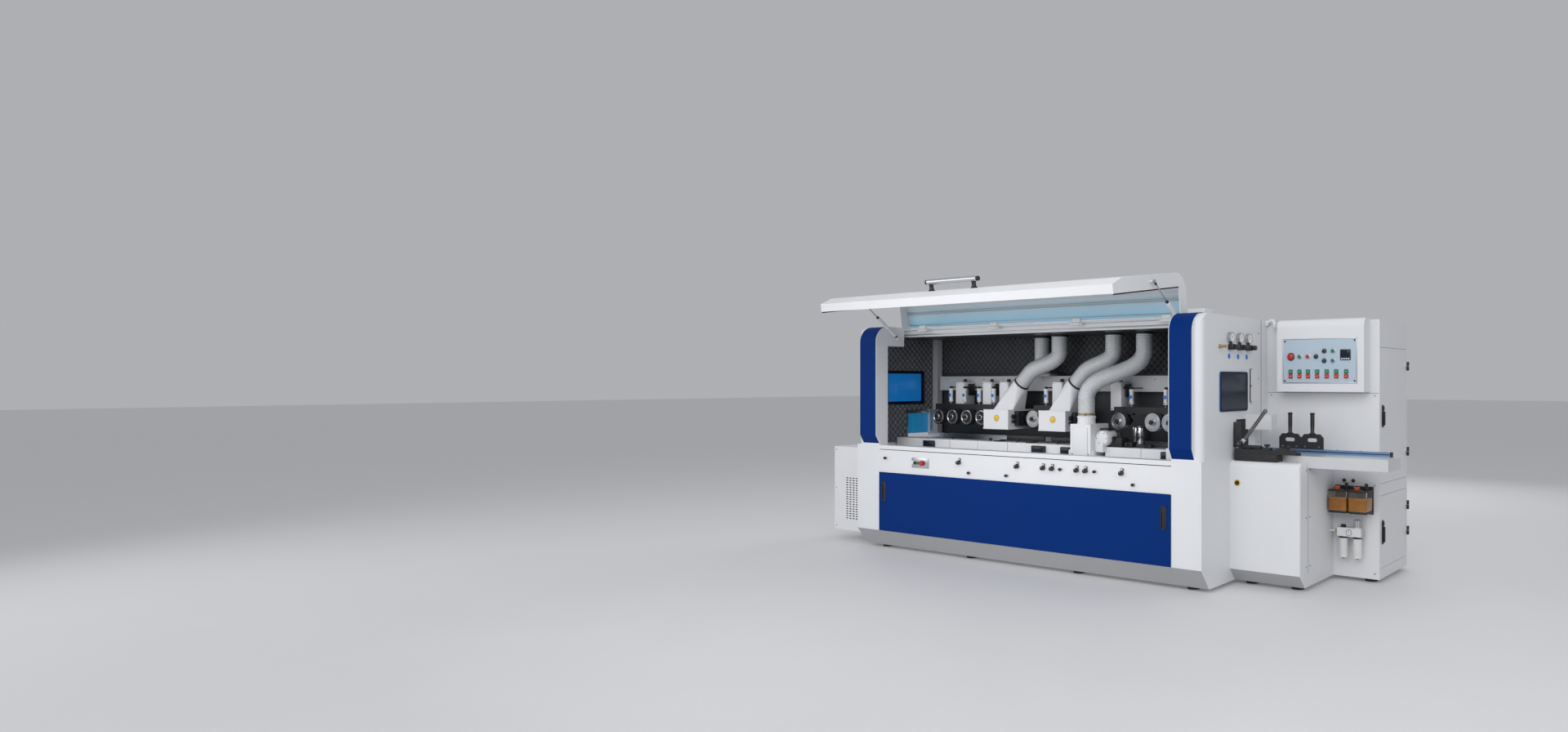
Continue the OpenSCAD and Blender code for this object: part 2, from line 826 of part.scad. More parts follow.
// Centre line of a hose: s runs from 0 at the roof to 1 at the fitting
function hose_line(top, end, dir, s, run_share, bend) =
    let (a = top - [0, 0, hose_d], d = end + dir*hose_d)
    s < run_share ? top + (a - top)*s/run_share
    : s > 1 - run_share ? end + (d - end)*(1 - s)/run_share
    : bend_point(a, a - [0, 0, bend], d + dir*bend, d, (s - run_share)/(1 - 2*run_share));

// Ring of points square to the line
function hose_ring(p, q, r) =
    let (t = (q - p)/norm(q - p), u = cross([0, 1, 0], t)/norm(cross([0, 1, 0], t)), v = cross(t, u))
    [for (k = [0:hose_sides - 1]) p + r*(cos(360*k/hose_sides)*u + sin(360*k/hose_sides)*v)];

// Triangles between ring i and ring j, seen from outside when the line runs upward
function ring_faces(i, j) =
    [for (k = [0:hose_sides - 1])
        let (a = i + k, b = i + (k + 1)%hose_sides, c = j + k, d = j + (k + 1)%hose_sides)
        each [[a, c, b], [b, c, d]]];

module ribbed_hose(top, end, dir, length, bend) {
    run_share = hose_d/length;
    rings = 2*round(length/rib_pitch) + 1;
    bores = ceil(rings/hose_bore_step) + 1;
    step = 1/(rings - 1);
    line = [for (i = [0:rings]) hose_line(top, end, dir, min(i*step, 1), run_share, bend)];
    ahead = [for (i = [0:rings - 1]) i < rings - 1 ? line[i + 1] : 2*line[i] - line[i - 1]];
    outer = [for (i = [0:rings - 1])
        each hose_ring(line[i], ahead[i], hose_d/2 - (i%2 == 0 ? rib_depth : 0))];
    picks = [for (j = [0:bores - 1]) min(j*hose_bore_step, rings - 1)];
    inner = [for (i = picks) each hose_ring(line[i], ahead[i], hose_d/2 - rib_depth - hose_wall)];
    n = rings*hose_sides;
    polyhedron(points = concat(outer, inner), faces = concat(
        [for (i = [0:rings - 2]) each ring_faces(i*hose_sides, (i + 1)*hose_sides)],
        [for (j = [0:bores - 2])
            if (picks[j] < picks[j + 1])
                each ring_faces(n + (j + 1)*hose_sides, n + j*hose_sides)],
        ring_faces(n, 0),
        ring_faces((rings - 1)*hose_sides, n + (bores - 1)*hose_sides)));
}

hose_slack_shares = [1.47, 1.4, 1.48];
tilt_dir = [sin(coupling_tilt), 0, cos(coupling_tilt)];
hose_lengths = [roof_z - beam_z - beam_h - socket_h, hose_slack_shares[0]*(roof_z - coupling_z),
    hose_slack_shares[1]*(roof_z - coupling_z),
    hose_slack_shares[2]*(roof_z - deck_h - side_hood_h - collar_l)];

module dust_hoses() {
    ends = [[-hose_end_shares[0]*body_l, back_hose_y, beam_z + beam_h + socket_h],
        [-hose_end_shares[1]*body_l, coupling_y, coupling_z],
        [-hose_end_shares[2]*body_l, coupling_y, coupling_z],
        [-hose_end_shares[3]*body_l, collar_y, deck_h + side_hood_h + collar_l]];
    dirs = [[0, 0, 1], tilt_dir, tilt_dir, [0, 0, 1]];
    bends = [0, hose_bend, hose_bend, 2*hose_bend];
    color("silver") placed()
        for (i = [0:len(ends) - 1])
            ribbed_hose([-hose_top_shares[i]*body_l, hose_top_y(i), roof_z], ends[i], dirs[i],
                hose_lengths[i], bends[i]);
}

// Spindle values
bottom_cutter_z = pass_h - cutter_d/2;
side_belt_z = 470;
side_cutter_h = 125;
side_carrier_h = 188;
motor_reach = 300;
side_motor_h = 220;
shaft_end = 5;
flange_w = 110;
bottom_carrier_drop = 65;

module spindle_carriers() {
    color("dimgray") placed() {
        for (share = top_spindle_shares)
            difference() {
                span([-share*body_l - carrier_half, carrier_y, top_cutter_z - carrier_half],
                    [-share*body_l + carrier_half, back_y, top_cutter_z + carrier_half]);
                bar_y([-share*body_l, carrier_y - over, top_cutter_z], spindle_d + 2*run_gap,
                    back_y - carrier_y + 2*over);
            }
        difference() {
            union() {
                span([bottom_spindle_x - carrier_half, carrier_y, bottom_cutter_z - bottom_carrier_drop],
                    [bottom_spindle_x + carrier_half, bed_back, pass_h]);
                span([bottom_spindle_x - flange_w, carrier_y, pass_h - bed_plate_t],
                    [bottom_spindle_x + flange_w, bed_back, pass_h]);
            }
            bar_y([bottom_spindle_x, carrier_y - over, bottom_cutter_z], spindle_d + 2*run_gap,
                bed_back - carrier_y + 2*over);
        }
        for (at = [[front_spindle_x, front_spindle_y], [rear_spindle_x, rear_spindle_y]])
            difference() {
                bar_z([at[0], at[1], deck_h - plate - side_carrier_h], 3*spindle_d, side_carrier_h);
                bar_z([at[0], at[1], deck_h - plate - side_carrier_h - over], spindle_d + 2*run_gap,
                    side_carrier_h + 2*over);
            }
    }
}

// Motor with its pulley, axis along Y, ending on the wall at the back
module level_motor(x, z, back) {
    bar_y([x, belt_y, z], pulley_d, belt_w);
    bar_y([x, belt_y, z], spindle_d, back - belt_y);
    bar_y([x, belt_y + belt_w + motor_gap, z], motor_d, back - belt_y - belt_w - motor_gap);
}

// Motor with its pulley, axis upright, hung under the deck
module upright_motor(x, y) {
    bar_z([x, y, side_belt_z], pulley_d, belt_w);
    bar_z([x, y, side_belt_z], spindle_d, deck_h - plate - side_belt_z);
    bar_z([x, y, deck_h - plate - side_motor_h], motor_d, side_motor_h);
}

module spindle_motors() {
    color("slategray") placed() {
        for (share = top_spindle_shares)
            level_motor(-share*body_l, top_cutter_z + motor_reach, body_d - sheet);
        level_motor(bottom_spindle_x, bottom_cutter_z - motor_reach, body_d - plate);
        upright_motor(front_spindle_x, front_spindle_y + motor_reach);
        upright_motor(rear_spindle_x, rear_spindle_y + motor_reach);
    }
}

// Belt loop lying flat from the origin to a pulley one motor reach along Y
belt_gap = 0.4;
belt_t = 6;
module belt_loop() {
    inner = pulley_d + 2*belt_gap;
    difference() {
        union() {
            cylinder(d = inner + 2*belt_t, h = belt_w);
            translate([0, motor_reach, 0])
                cylinder(d = inner + 2*belt_t, h = belt_w);
            span([-inner/2 - belt_t, 0, 0], [inner/2 + belt_t, motor_reach, belt_w]);
        }
        translate([0, 0, -over])
            cylinder(d = inner, h = belt_w + 2*over);
        translate([0, motor_reach, -over])
            cylinder(d = inner, h = belt_w + 2*over);
        span([-inner/2, 0, -over], [inner/2, motor_reach, belt_w + over]);
    }
}

module drive_belts() {
    color("black") placed() {
        for (share = top_spindle_shares)
            translate([-share*body_l, belt_y + belt_w, top_cutter_z])
                rotate([90, 0, 0])
                    belt_loop();
        translate([bottom_spindle_x, belt_y, bottom_cutter_z])
            rotate([-90, 0, 0])
                belt_loop();
        translate([front_spindle_x, front_spindle_y, side_belt_z])
            belt_loop();
        translate([rear_spindle_x, rear_spindle_y, side_belt_z])
            belt_loop();
    }
}

// Horizontal spindle with its cutter head and pulley
module level_spindle(x, z) {
    color("silver") placed() {
        bar_y([x, work_y + shaft_end, z], cutter_d, work_w - 2*shaft_end);
        bar_y([x, work_y - 2*shaft_end, z], spindle_d, belt_y + belt_w + 3*shaft_end - work_y);
        bar_y([x, belt_y, z], pulley_d, belt_w);
    }
}

// Upright spindle with its cutter head and pulley
module upright_spindle(x, y) {
    color("silver") placed() {
        bar_z([x, y, pass_h + shaft_end], side_cutter_d, side_cutter_h);
        bar_z([x, y, side_belt_z - shaft_end], spindle_d, pass_h + side_cutter_h + 4*shaft_end - side_belt_z);
        bar_z([x, y, side_belt_z], pulley_d, belt_w);
    }
}

module bottom_spindle() level_spindle(bottom_spindle_x, bottom_cutter_z);
module front_side_spindle() upright_spindle(front_spindle_x, front_spindle_y);
module rear_side_spindle() upright_spindle(rear_spindle_x, rear_spindle_y);
module top_spindle_1() level_spindle(-top_spindle_shares[0]*body_l, top_cutter_z);
module top_spindle_2() level_spindle(-top_spindle_shares[1]*body_l, top_cutter_z);

// Outfeed cabinet values
outfeed_z_step = 60;
outfeed_z = foot_h + outfeed_z_step;
slot_cols = 4;
slot_rows = 18;
slot_l = 24;
slot_h = 8;
slot_step_x = 38;
slot_step_z = 19;
slot_inset = 139;
slot_rise = 93;

module outfeed_cabinet() {
    x0 = -body_l - outfeed_w;
    color("whitesmoke") placed()
        difference() {
            span([x0, outfeed_y, outfeed_z], [-body_l, outfeed_y + outfeed_d, outfeed_z + outfeed_h]);
            span([x0 + sheet, outfeed_y + sheet, outfeed_z + sheet],
                [-body_l + over, outfeed_y + outfeed_d - sheet, outfeed_z + outfeed_h - sheet]);
            for (i = [0:slot_cols - 1])
                for (j = [0:slot_rows - 1])
                    translate([x0 + slot_inset + i*slot_step_x, outfeed_y - over,
                        outfeed_z + slot_rise + j*slot_step_z])
                        cube([slot_l, sheet + 2*over, slot_h]);
        }
}

// Strip curtain that hangs in the outfeed mouth from a rail
strips = 12;
strip_t = 4;
strip_gap = 1;
strip_clear = 30;
curtain_rail = 20;
curtain_inset = 8;
module outfeed_curtain() {
    step = mouth_w/strips;
    top = mouth_z + mouth_h;
    x = -body_l + curtain_inset;
    color("deepskyblue") placed() {
        span([x, mouth_y, top - curtain_rail], [x + curtain_rail, mouth_y + mouth_w, top]);
        for (i = [0:strips - 1])
            span([x + curtain_rail/2, mouth_y + i*step + strip_gap/2, pass_h + strip_clear],
                [x + curtain_rail/2 + strip_t, mouth_y + (i + 1)*step - strip_gap/2, top - curtain_rail]);
    }
}

// Infeed cabinet values
infeed_plinth_h = 83;
infeed_plinth_d = 75;
infeed_r = 40;
infeed_edge_r = 14;

module infeed_cabinet() {
    color("whitesmoke") placed()
        difference() {
            along_x(0, infeed_w)
                polygon([[infeed_y + infeed_plinth_d, base_z], [infeed_y, base_z + infeed_plinth_h],
                    [infeed_y, infeed_h], [control_y, infeed_h], [control_y, base_z]]);
            along_x(sheet, infeed_w - sheet)
                polygon([[infeed_y + infeed_plinth_d + sheet, base_z + sheet],
                    [infeed_y + sheet, base_z + infeed_plinth_h], [infeed_y + sheet, infeed_h - infeed_r],
                    [infeed_y + infeed_r, infeed_h - sheet], [control_y - sheet, infeed_h - sheet],
                    [control_y - sheet, base_z + sheet]]);
            front_top_cut(0, infeed_w, infeed_y, infeed_h, infeed_r);
            upright_cut(infeed_w, infeed_y, base_z, infeed_h, infeed_edge_r, 1);
        }
}

// Infeed table values
table_lip = 6;
apron_h = 33;
apron_wall = 8;
module infeed_table() {
    y0 = work_y - table_lip;
    y1 = fence_y + fence_t;
    color("lightsteelblue") placed() {
        span([0, y0, infeed_h], [table_l, y1, pass_h]);
        span([chamber_x1, y0, sill_h], [0, y1, pass_h]);
        difference() {
            span([infeed_w + pass_gap, y0, infeed_h - apron_h], [table_l, y1, infeed_h]);
            span([infeed_w + pass_gap + apron_wall, y0 + apron_wall, infeed_h - apron_h - over],
                [table_l - apron_wall, y1 - apron_wall, infeed_h]);
        }
    }
}

// Guide fence on the back edge of the table
guide_start = 90;
guide_stop = 45;
guide_h = 28;
guide_t = 18;
module guide_fence() {
    color("steelblue") placed() {
        span([guide_start, fence_y, pass_h], [table_l - guide_stop, fence_y + guide_t, pass_h + guide_h]);
    }
}

// Two fan shaped brackets with upright grips that stand on the guide fence
bracket_w = 145;
bracket_h = 95;
bracket_xs_shares = [0.2, 0.355];
bracket_grip_d = 30;
bracket_grip_h = 135;
module fence_brackets() {
    color("black") placed()
        for (share = bracket_xs_shares)
            translate([share*table_l, fence_y + guide_t, pass_h + guide_h]) {
                rotate([90, 0, 0])
                    linear_extrude(guide_t)
                        polygon([[0, 0], [bracket_w, 0], [bracket_w, bracket_h*3/4],
                            [bracket_w*6/7, bracket_h],
                            [bracket_w/7, bracket_h], [0, bracket_h*3/4]]);
                bar_z([bracket_w/2, -guide_t/2, bracket_h], bracket_grip_d, bracket_grip_h);
            }
}

// Side pressure unit in front of the work line at the infeed mouth
unit_x = 20;
unit_y = 395;
unit_l = 290;
unit_h = 45;
unit_gap = 8;
slide_l = 400;
slide_d = 40;
slide_h = 28;
finger_w = 40;
finger_reach = 110;
finger_h = 18;
flap_t = 5;
flap_w = 100;
flap_h = 160;
flap_lift = 40;
clevis_w = 30;
clevis_h = 46;
clevis_t = 9;
clevis_pin_d = 10;
clevis_slot = 16;
clevis_at = 62;
pivot_drop = 14;
unit_top = infeed_h + unit_h + slide_h;
pivot_x = clevis_at;
pivot_y = unit_y + slide_d/2;
pivot_z = unit_top + clevis_h - pivot_drop;
module pressure_unit() {
    color("black") placed() {
        span([unit_x, unit_y, infeed_h], [unit_x + unit_l, work_y - unit_gap, infeed_h + unit_h]);
        span([unit_x, unit_y, infeed_h + unit_h], [unit_x + slide_l, unit_y + slide_d, unit_top]);
        for (x = [clevis_at + clevis_w, unit_x + unit_l - finger_w])
            span([x, unit_y + slide_d, unit_top - finger_h], [x + finger_w, work_y + finger_reach, unit_top]);
        for (side = [-1, 1])
            translate([pivot_x - clevis_w/2, pivot_y + side*(clevis_slot + clevis_t)/2 - clevis_t/2,
                unit_top])
                cube([clevis_w, clevis_t, clevis_h]);
        bar_y([pivot_x, pivot_y - clevis_slot/2, pivot_z], clevis_pin_d, clevis_slot);
        span([0, mouth_y - flap_lift, pass_h + flap_lift],
            [flap_t, mouth_y - flap_lift + flap_w, pass_h + flap_lift + flap_h]);
    }
}

// Steel clamp lever between the clevis cheeks
lever_l = 260;
lever_d = 12;
lever_hub_d = 26;
lever_knob_d = 24;
lever_tilt = 52;
module clamp_lever() {
    width = clevis_slot - 2*pass_gap;
    color("silver") placed()
        translate([pivot_x, pivot_y, pivot_z])
            rotate([0, -lever_tilt, 0])
                difference() {
                    union() {
                        bar_y([0, -width/2, 0], lever_hub_d, width);
                        bar_x([0, 0, 0], lever_d, lever_l);
                        bar_x([lever_l - 3*lever_knob_d, 0, 0], lever_d*4/3, 3*lever_knob_d);
                    }
                    bar_y([0, -width, 0], clevis_pin_d + 2*run_gap, 2*width);
                }
}

// Control cabinet doors, hinged on their back edge
door_t = 8;
door_gap = 2;
door_front = 12;
door_back = 20;
upper_door_z = 630;
upper_door_h = 870;
lower_door_z = 91;
lower_door_h = 464;
knuckle_out = 9;
door_knuckle_d = 16;
door_pin_d = 8;
knuckle_l = 30;
hinge_rise = 145;
leaf_t = 3;
door_axis_x = control_w + knuckle_out;
door_axis_y = control_y + control_d - knuckle_out;
function door_hinges(z, h) = [z + hinge_rise, z + h - hinge_rise];

// Fixed knuckle with the pin that a door turns on
module fixed_knuckle(z) {
    bar_z([door_axis_x, door_axis_y, z], door_knuckle_d, knuckle_l);
    bar_z([door_axis_x, door_axis_y, z], door_pin_d, 2*knuckle_l);
    span([control_w, door_axis_y - door_knuckle_d/4, z],
        [door_axis_x, door_axis_y + door_knuckle_d/4, z + knuckle_l]);
}

module control_cabinet() {
    y1 = control_y + control_d;
    color("whitesmoke") placed() {
        difference() {
            span([0, control_y, base_z], [control_w, y1, control_h]);
            span([sheet, control_y + sheet, base_z + sheet],
                [control_w - sheet, y1 - sheet, control_h - sheet]);
            for (door = [[upper_door_z, upper_door_h], [lower_door_z, lower_door_h]])
                span([control_w - sheet - over, control_y + door_front, door[0]],
                    [control_w + over, y1 - door_back, door[0] + door[1]]);
        }
        for (z = concat(door_hinges(upper_door_z, upper_door_h), door_hinges(lower_door_z, lower_door_h)))
            fixed_knuckle(z);
    }
}

module cabinet_door(z, h) {
    y0 = control_y + door_front + door_gap;
    y1 = control_y + control_d - door_back - door_gap;
    color("whitesmoke") placed()
        difference() {
            union() {
                span([control_w - door_t, y0, z + door_gap], [control_w, y1, z + h - door_gap]);
                for (k = door_hinges(z, h)) {
                    bar_z([door_axis_x, door_axis_y, k + knuckle_l + pass_gap], door_knuckle_d, knuckle_l);
                    span([control_w + pass_gap, y1 - knuckle_l, k + knuckle_l + pass_gap],
                        [control_w + pass_gap + leaf_t, door_axis_y, k + 2*knuckle_l + pass_gap]);
                    span([control_w - pass_gap, y1 - knuckle_l, k + knuckle_l + pass_gap],
                        [control_w + 2*pass_gap, y1 - knuckle_l/4, k + 2*knuckle_l + pass_gap]);
                }
            }
            for (k = door_hinges(z, h))
                bar_z([door_axis_x, door_axis_y, k + knuckle_l], door_pin_d + 2*run_gap, knuckle_l + 2*over);
        }
}

module upper_door() cabinet_door(upper_door_z, upper_door_h);
module lower_door() cabinet_door(lower_door_z, lower_door_h);

// Console box on the front of the control cabinet
console_x = 123;
console_z = 1215;
console_r = 55;
console_wall = 3;
console_window = 10;
panel_x = console_x + (console_w - plate_w)/2;
panel_bottom_step = 58;
panel_bottom = console_z + panel_bottom_step;
panel_plate_t = 4;
console_y = control_y - console_d;
plate_y = console_y - panel_plate_t;

module control_console() {
    color("whitesmoke") placed()
        difference() {
            span([console_x, console_y, console_z],
                [console_x + console_w, control_y, console_z + console_h]);
            front_top_cut(console_x, console_x + console_w, console_y, console_z + console_h, console_r);
            span([console_x + console_wall, console_y + console_wall, console_z + console_wall],
                [console_x + console_w - console_wall, control_y + over, console_z + console_h - console_r]);
            span([panel_x + console_window, console_y - over, panel_bottom + console_window],
                [panel_x + plate_w - console_window, console_y + console_wall + over,
                    panel_bottom + plate_h - console_window]);
        }
}

// Button places, as shares of the panel plate's width and height
stop_at_shares = [0.111, 0.6];
lamp_shares = [[0.236, 0.6], [0.347, 0.6], [0.458, 0.6], [0.57, 0.72], [0.57, 0.5], [0.69, 0.72],
    [0.69, 0.5]];
display_share = [0.855, 0.63];
pair_shares = [0.111, 0.236, 0.354, 0.479, 0.61, 0.737, 0.869];
start_row_share = 0.255;
stop_row_share = 0.15;
button_w = 26;
button_h = 27;
button_t = 8;
button_lift = 5;
stem_d = 10;
stem_l = 22;
lamp_d = 24;
lamp_t = 14;
display_w = 60;
mushroom_d = 40;
mushroom_t = 18;
mushroom_stem_d = 16;
function panel_point(sx, sz) = [panel_x + sx*plate_w, plate_y, panel_bottom + sz*plate_h];

module console_panel() {
    color("lightsteelblue") placed() {
        difference() {
            span([panel_x, plate_y, panel_bottom], [panel_x + plate_w, console_y, panel_bottom + plate_h]);
            translate([0, -over, 0])
                bar_y(panel_point(stop_at_shares[0], stop_at_shares[1]), mushroom_stem_d + 2*run_gap,
                    panel_plate_t + 2*over);
            for (share = pair_shares)
                for (row = [start_row_share, stop_row_share])
                    translate([0, -over, 0])
                        bar_y(panel_point(share, row), stem_d + 2*run_gap, panel_plate_t + 2*over);
        }
        for (at = lamp_shares)
            bar_y(panel_point(at[0], at[1]) - [0, lamp_t, 0], lamp_d, lamp_t);
        translate(panel_point(display_share[0], display_share[1]) - [display_w/2, button_lift, display_w/2])
            cube([display_w, button_lift, display_w]);
    }
}

// Mushroom head on a stem that passes through the plate at a point
module mushroom(at, stem) {
    bar_y(at - [0, button_lift + mushroom_t, 0], mushroom_d, mushroom_t);
    bar_y(at - [0, button_lift, 0], mushroom_stem_d, stem + button_lift);
}

module emergency_stop() {
    color("red") placed()
        mushroom(panel_point(stop_at_shares[0], stop_at_shares[1]), stem_l);
}

module button_row(row) {
    for (share = pair_shares) {
        at = panel_point(share, row);
        span(at - [button_w/2, button_lift + button_t, button_h/2],
            at + [button_w/2, -button_lift, button_h/2]);
        bar_y(at - [0, button_lift, 0], stem_d, stem_l);
    }
}

module start_buttons() {
    color("green") placed()
        button_row(start_row_share);
}

module stop_buttons() {
    color("red") placed()
        button_row(stop_row_share);
}

// Sill controls: adjuster knobs, a small switch plate and its own stop
knob_d = 26;
knob_l = 30;
knob_z = 705;
small_knob_d = 18;
small_knob_l = 22;
small_knob_z = 704;
small_knob_low_z = 637;
knob_collar_t = 6;
sill_plate_w = 175;
sill_plate_h = 75;
sill_plate_z = 645;
sill_plate_t = 4;
sill_buttons_shares = [0.1, 0.25, 0.4];
sill_stop_at_share = 0.63;
sill_stop_x = -sill_plate_share*body_l + (sill_stop_at_share - 1/2)*sill_plate_w;
sill_stop_z = sill_plate_z + sill_plate_h/2;

module sill_adjusters() {
    plate_x = -sill_plate_share*body_l;
    color("black") placed() {
        for (share = knob_shares) {
            bar_y([-share*body_l, -knob_l, knob_z], knob_d, knob_l - knob_collar_t);
            bar_y([-share*body_l, -knob_collar_t, knob_z], small_knob_d, knob_collar_t);
        }
        for (i = [0:len(small_knob_shares) - 1])
            bar_y([-small_knob_shares[i]*body_l, -small_knob_l,
                small_knob_low_shares[i] > 0 ? small_knob_low_z : small_knob_z], small_knob_d, small_knob_l);
        difference() {
            span([plate_x - sill_plate_w/2, -sill_plate_t, sill_plate_z],
                [plate_x + sill_plate_w/2, 0, sill_plate_z + sill_plate_h]);
            bar_y([sill_stop_x, -sill_plate_t - over, sill_stop_z], mushroom_stem_d + 2*run_gap,
                sill_plate_t + 2*over);
        }
        for (share = sill_buttons_shares)
            bar_y([plate_x + (share - 1/2)*sill_plate_w, -sill_plate_t - lamp_t,
                sill_plate_z + sill_plate_h/2],
                lamp_d, lamp_t);
    }
}

module sill_stop() {
    color("red") placed()
        mushroom([sill_stop_x, -sill_plate_t, sill_stop_z], stem_l);
}

// Pressure regulators and gauges on the infeed end wall
regulator_ys_shares = [0.25, 0.337, 0.423];
regulator_l = 38;
regulator_knob_d = 28;
regulator_knob_l = 32;
gauge_rise = 60;
gauge_z = regulator_z + gauge_rise;
gauge_d = 66;
gauge_l = 24;
inlet_share = 0.159;
inlet_d = 18;
inlet_l = 45;
scale_y = 660;
scale_w = 18;
scale_t = 8;
scale_rise = 322;
scale_z = pass_h + scale_rise;
scale_h = 214;
module pressure_regulators() {
    color("black") placed() {
        for (share = regulator_ys_shares) {
            span([0, share*body_d - regulator_w/2, regulator_z - regulator_w/2],
                [regulator_l, share*body_d + regulator_w/2, regulator_z + regulator_w/2]);
            bar_x([regulator_l, share*body_d, regulator_z], regulator_knob_d, regulator_knob_l);
            bar_x([0, share*body_d, gauge_z], gauge_d, gauge_l);
        }
        bar_x([0, inlet_share*body_d, regulator_z], inlet_d, inlet_l);
        span([0, scale_y, scale_z], [scale_t, scale_y + scale_w, scale_z + scale_h]);
    }
}

// Two oil tanks with lids on the front of the control cabinet
oil_x = [482, 612];
oil_w = 118;
oil_d = 135;
oil_z = 450;
oil_h = 110;
oil_lid_h = 25;
oil_cap_d = 40;
oil_cap_h = 22;
module lubrication_units() {
    color("goldenrod") placed()
        for (x = oil_x) {
            span([x, control_y - oil_d, oil_z], [x + oil_w, control_y, oil_z + oil_h]);
            span([x, control_y - oil_d, oil_z + oil_h], [x + oil_w, control_y, oil_z + oil_h + oil_lid_h]);
            bar_z([x + oil_w/2, control_y - oil_d/2, oil_z + oil_h + oil_lid_h], oil_cap_d, oil_cap_h);
        }
}

// Air filter and oiler with their bowls and the pipe from the infeed cabinet
air_y = 880;
air_z = 295;
air_block_x = 520;
air_block_w = 160;
air_block_d = 56;
air_block_h = 55;
bowl_d = 54;
bowl_l = 135;
bowl_inset = 34;
air_knob_d = 44;
air_knob_h = 50;
air_pipe_d = 14;
air_arm_w = 80;
module air_service_unit() {
    color("whitesmoke") placed() {
        span([air_block_x, air_y - air_block_d/2, air_z],
            [air_block_x + air_block_w, air_y + air_block_d/2, air_z + air_block_h]);
        for (x = [air_block_x + bowl_inset, air_block_x + air_block_w - bowl_inset])
            bar_z([x, air_y, air_z - bowl_l], bowl_d, bowl_l);
        bar_z([air_block_x + air_block_w - bowl_inset, air_y, air_z + air_block_h], air_knob_d, air_knob_h);
        span([air_block_x + (air_block_w - air_arm_w)/2, air_y, air_z],
            [air_block_x + (air_block_w + air_arm_w)/2, control_y, air_z + air_block_h]);
        bar_x([infeed_w, air_y, air_z + air_block_h/2], air_pipe_d, air_block_x - infeed_w);
    }
}

// Lift-off front panel with a tray that enters the base and two sunk grips
panel_gap = 1;
tray_gap = 4;
tray_t = 8;
recess_w = 35;
recess_h = 135;
recess_d = 4;
recess_inset = 34;
recess_lift = 229;
module front_panel() {
    x0 = -body_l + pillar_out_w + panel_gap;
    x1 = -pillar_in_w - panel_gap;
    inset = panel_lap + tray_gap;
    color("midnightblue") placed()
        difference() {
            union() {
                span([x0, -panel_t, panel_z + panel_gap], [x1, 0, panel_z + panel_h - panel_gap]);
                span([x0 + inset, -panel_t/2, panel_z + inset],
                    [x1 - inset, tray_t, panel_z + panel_h - inset]);
            }
            span([x0 + inset + tray_t, 0, panel_z + inset + tray_t],
                [x1 - inset - tray_t, tray_t + over, panel_z + panel_h - inset - tray_t]);
            for (x = [x0 + recess_inset, x1 - recess_inset - recess_w])
                span([x, -panel_t - over, panel_z + recess_lift],
                    [x + recess_w, recess_d - panel_t, panel_z + recess_lift + recess_h]);
        }
}

// Strut values, u measured from the pillar's inner face across the gap
stud_y = 178;
stud_drop = 90;
stud_z = top_h - stud_drop;
stud_d = 10;
stud_end = 2;
collar_d = 18;
strut_u = 12;
eye_w = 12;
eye_d = 22;
tube_d = 20;
tube_l = 265;
tube_bore_start = 60;
strut_rod_d = 10;
strut_rod_start = 150;
stud_l = strut_u + eye_w/2 + stud_end;
hood_stud_in = 40;
hood_stud_drop = 413;
hood_stud_d = 12;
hood_stud_l = strut_gap - strut_u - eye_w/2 - pass_gap;
upper_y = hinge_y + swung_y(hood_front + hood_stud_in, -hood_stud_drop);
upper_z = hinge_h + swung_z(hood_front + hood_stud_in, -hood_stud_drop);
strut_l = norm([upper_y - stud_y, upper_z - stud_z]);
strut_tilt = atan2(upper_z - stud_z, upper_y - stud_y);

// Stud on a pillar's inner face, x inward from that face
module pillar_stud() {
    bar_x([-sheet, stud_y, stud_z], stud_d, sheet + stud_l);
    bar_x([-sheet, stud_y, stud_z], collar_d, sheet + strut_u - eye_w/2 - pass_gap);
}

// Sets a strut piece in the gap beside a pillar; side is 1 at the outfeed and -1 at the infeed
module strut_place(face_x, side) {
    translate([face_x + side*strut_u, stud_y, stud_z])
        rotate([strut_tilt, 0, 0])
            children();
}

module strut_tube(face_x, side) {
    color("silver") placed()
        strut_place(face_x, side)
            difference() {
                union() {
                    bar_x([-eye_w/2, 0, 0], eye_d, eye_w);
                    bar_y([0, 0, 0], eye_w, eye_d);
                    bar_y([0, eye_d*3/4, 0], tube_d, tube_l - eye_d*3/4);
                }
                bar_x([-tube_d, 0, 0], stud_d + 2*run_gap, 2*tube_d);
                bar_y([0, tube_bore_start, 0], strut_rod_d + 2*run_gap, tube_l);
            }
}

module strut_rod(face_x, side) {
    color("dimgray") placed()
        strut_place(face_x, side) {
            bar_y([0, strut_rod_start, 0], strut_rod_d, strut_l - strut_rod_start);
            bar_x([-eye_w/2, strut_l, 0], eye_d, eye_w);
        }
}

module outfeed_strut_tube() strut_tube(-body_l + pillar_out_w, 1);
module outfeed_strut_rod() strut_rod(-body_l + pillar_out_w, 1);
module infeed_strut_tube() strut_tube(-pillar_in_w, -1);
module infeed_strut_rod() strut_rod(-pillar_in_w, -1);

// Hood, drawn closed about its hinge and swung up
knuckle_gap = 2;
strap_l = 40;
hinge_clear = 14;
flange_r = 30;

// Rounded front half of the hood, closed, shrunk by t on the outside
module hood_block(x0, x1, t, back) {
    difference() {
        span([x0, hood_front + t, chamfer_h - hood_drop], [x1, back, hood_rise - t]);
        front_top_cut(x0, x1, hood_front + t, hood_rise - t, hood_r - t);
    }
}

module hood_flange(x) {
    difference() {
        hood_block(x, x + hood_t, 0, -hinge_clear);
        span([x - over, hood_front + flange_d, chamfer_h - hood_drop - over],
            [x + hood_t + over, 0, hood_rise - flange_d]);
    }
    along_x(x, x + hood_t)
        polygon([[hood_front, chamfer_h - hood_drop], [hood_front + chamfer_in, -hood_drop],
            [hood_front + flange_d, -hood_drop], [hood_front + flange_d, chamfer_h - hood_drop]]);
}

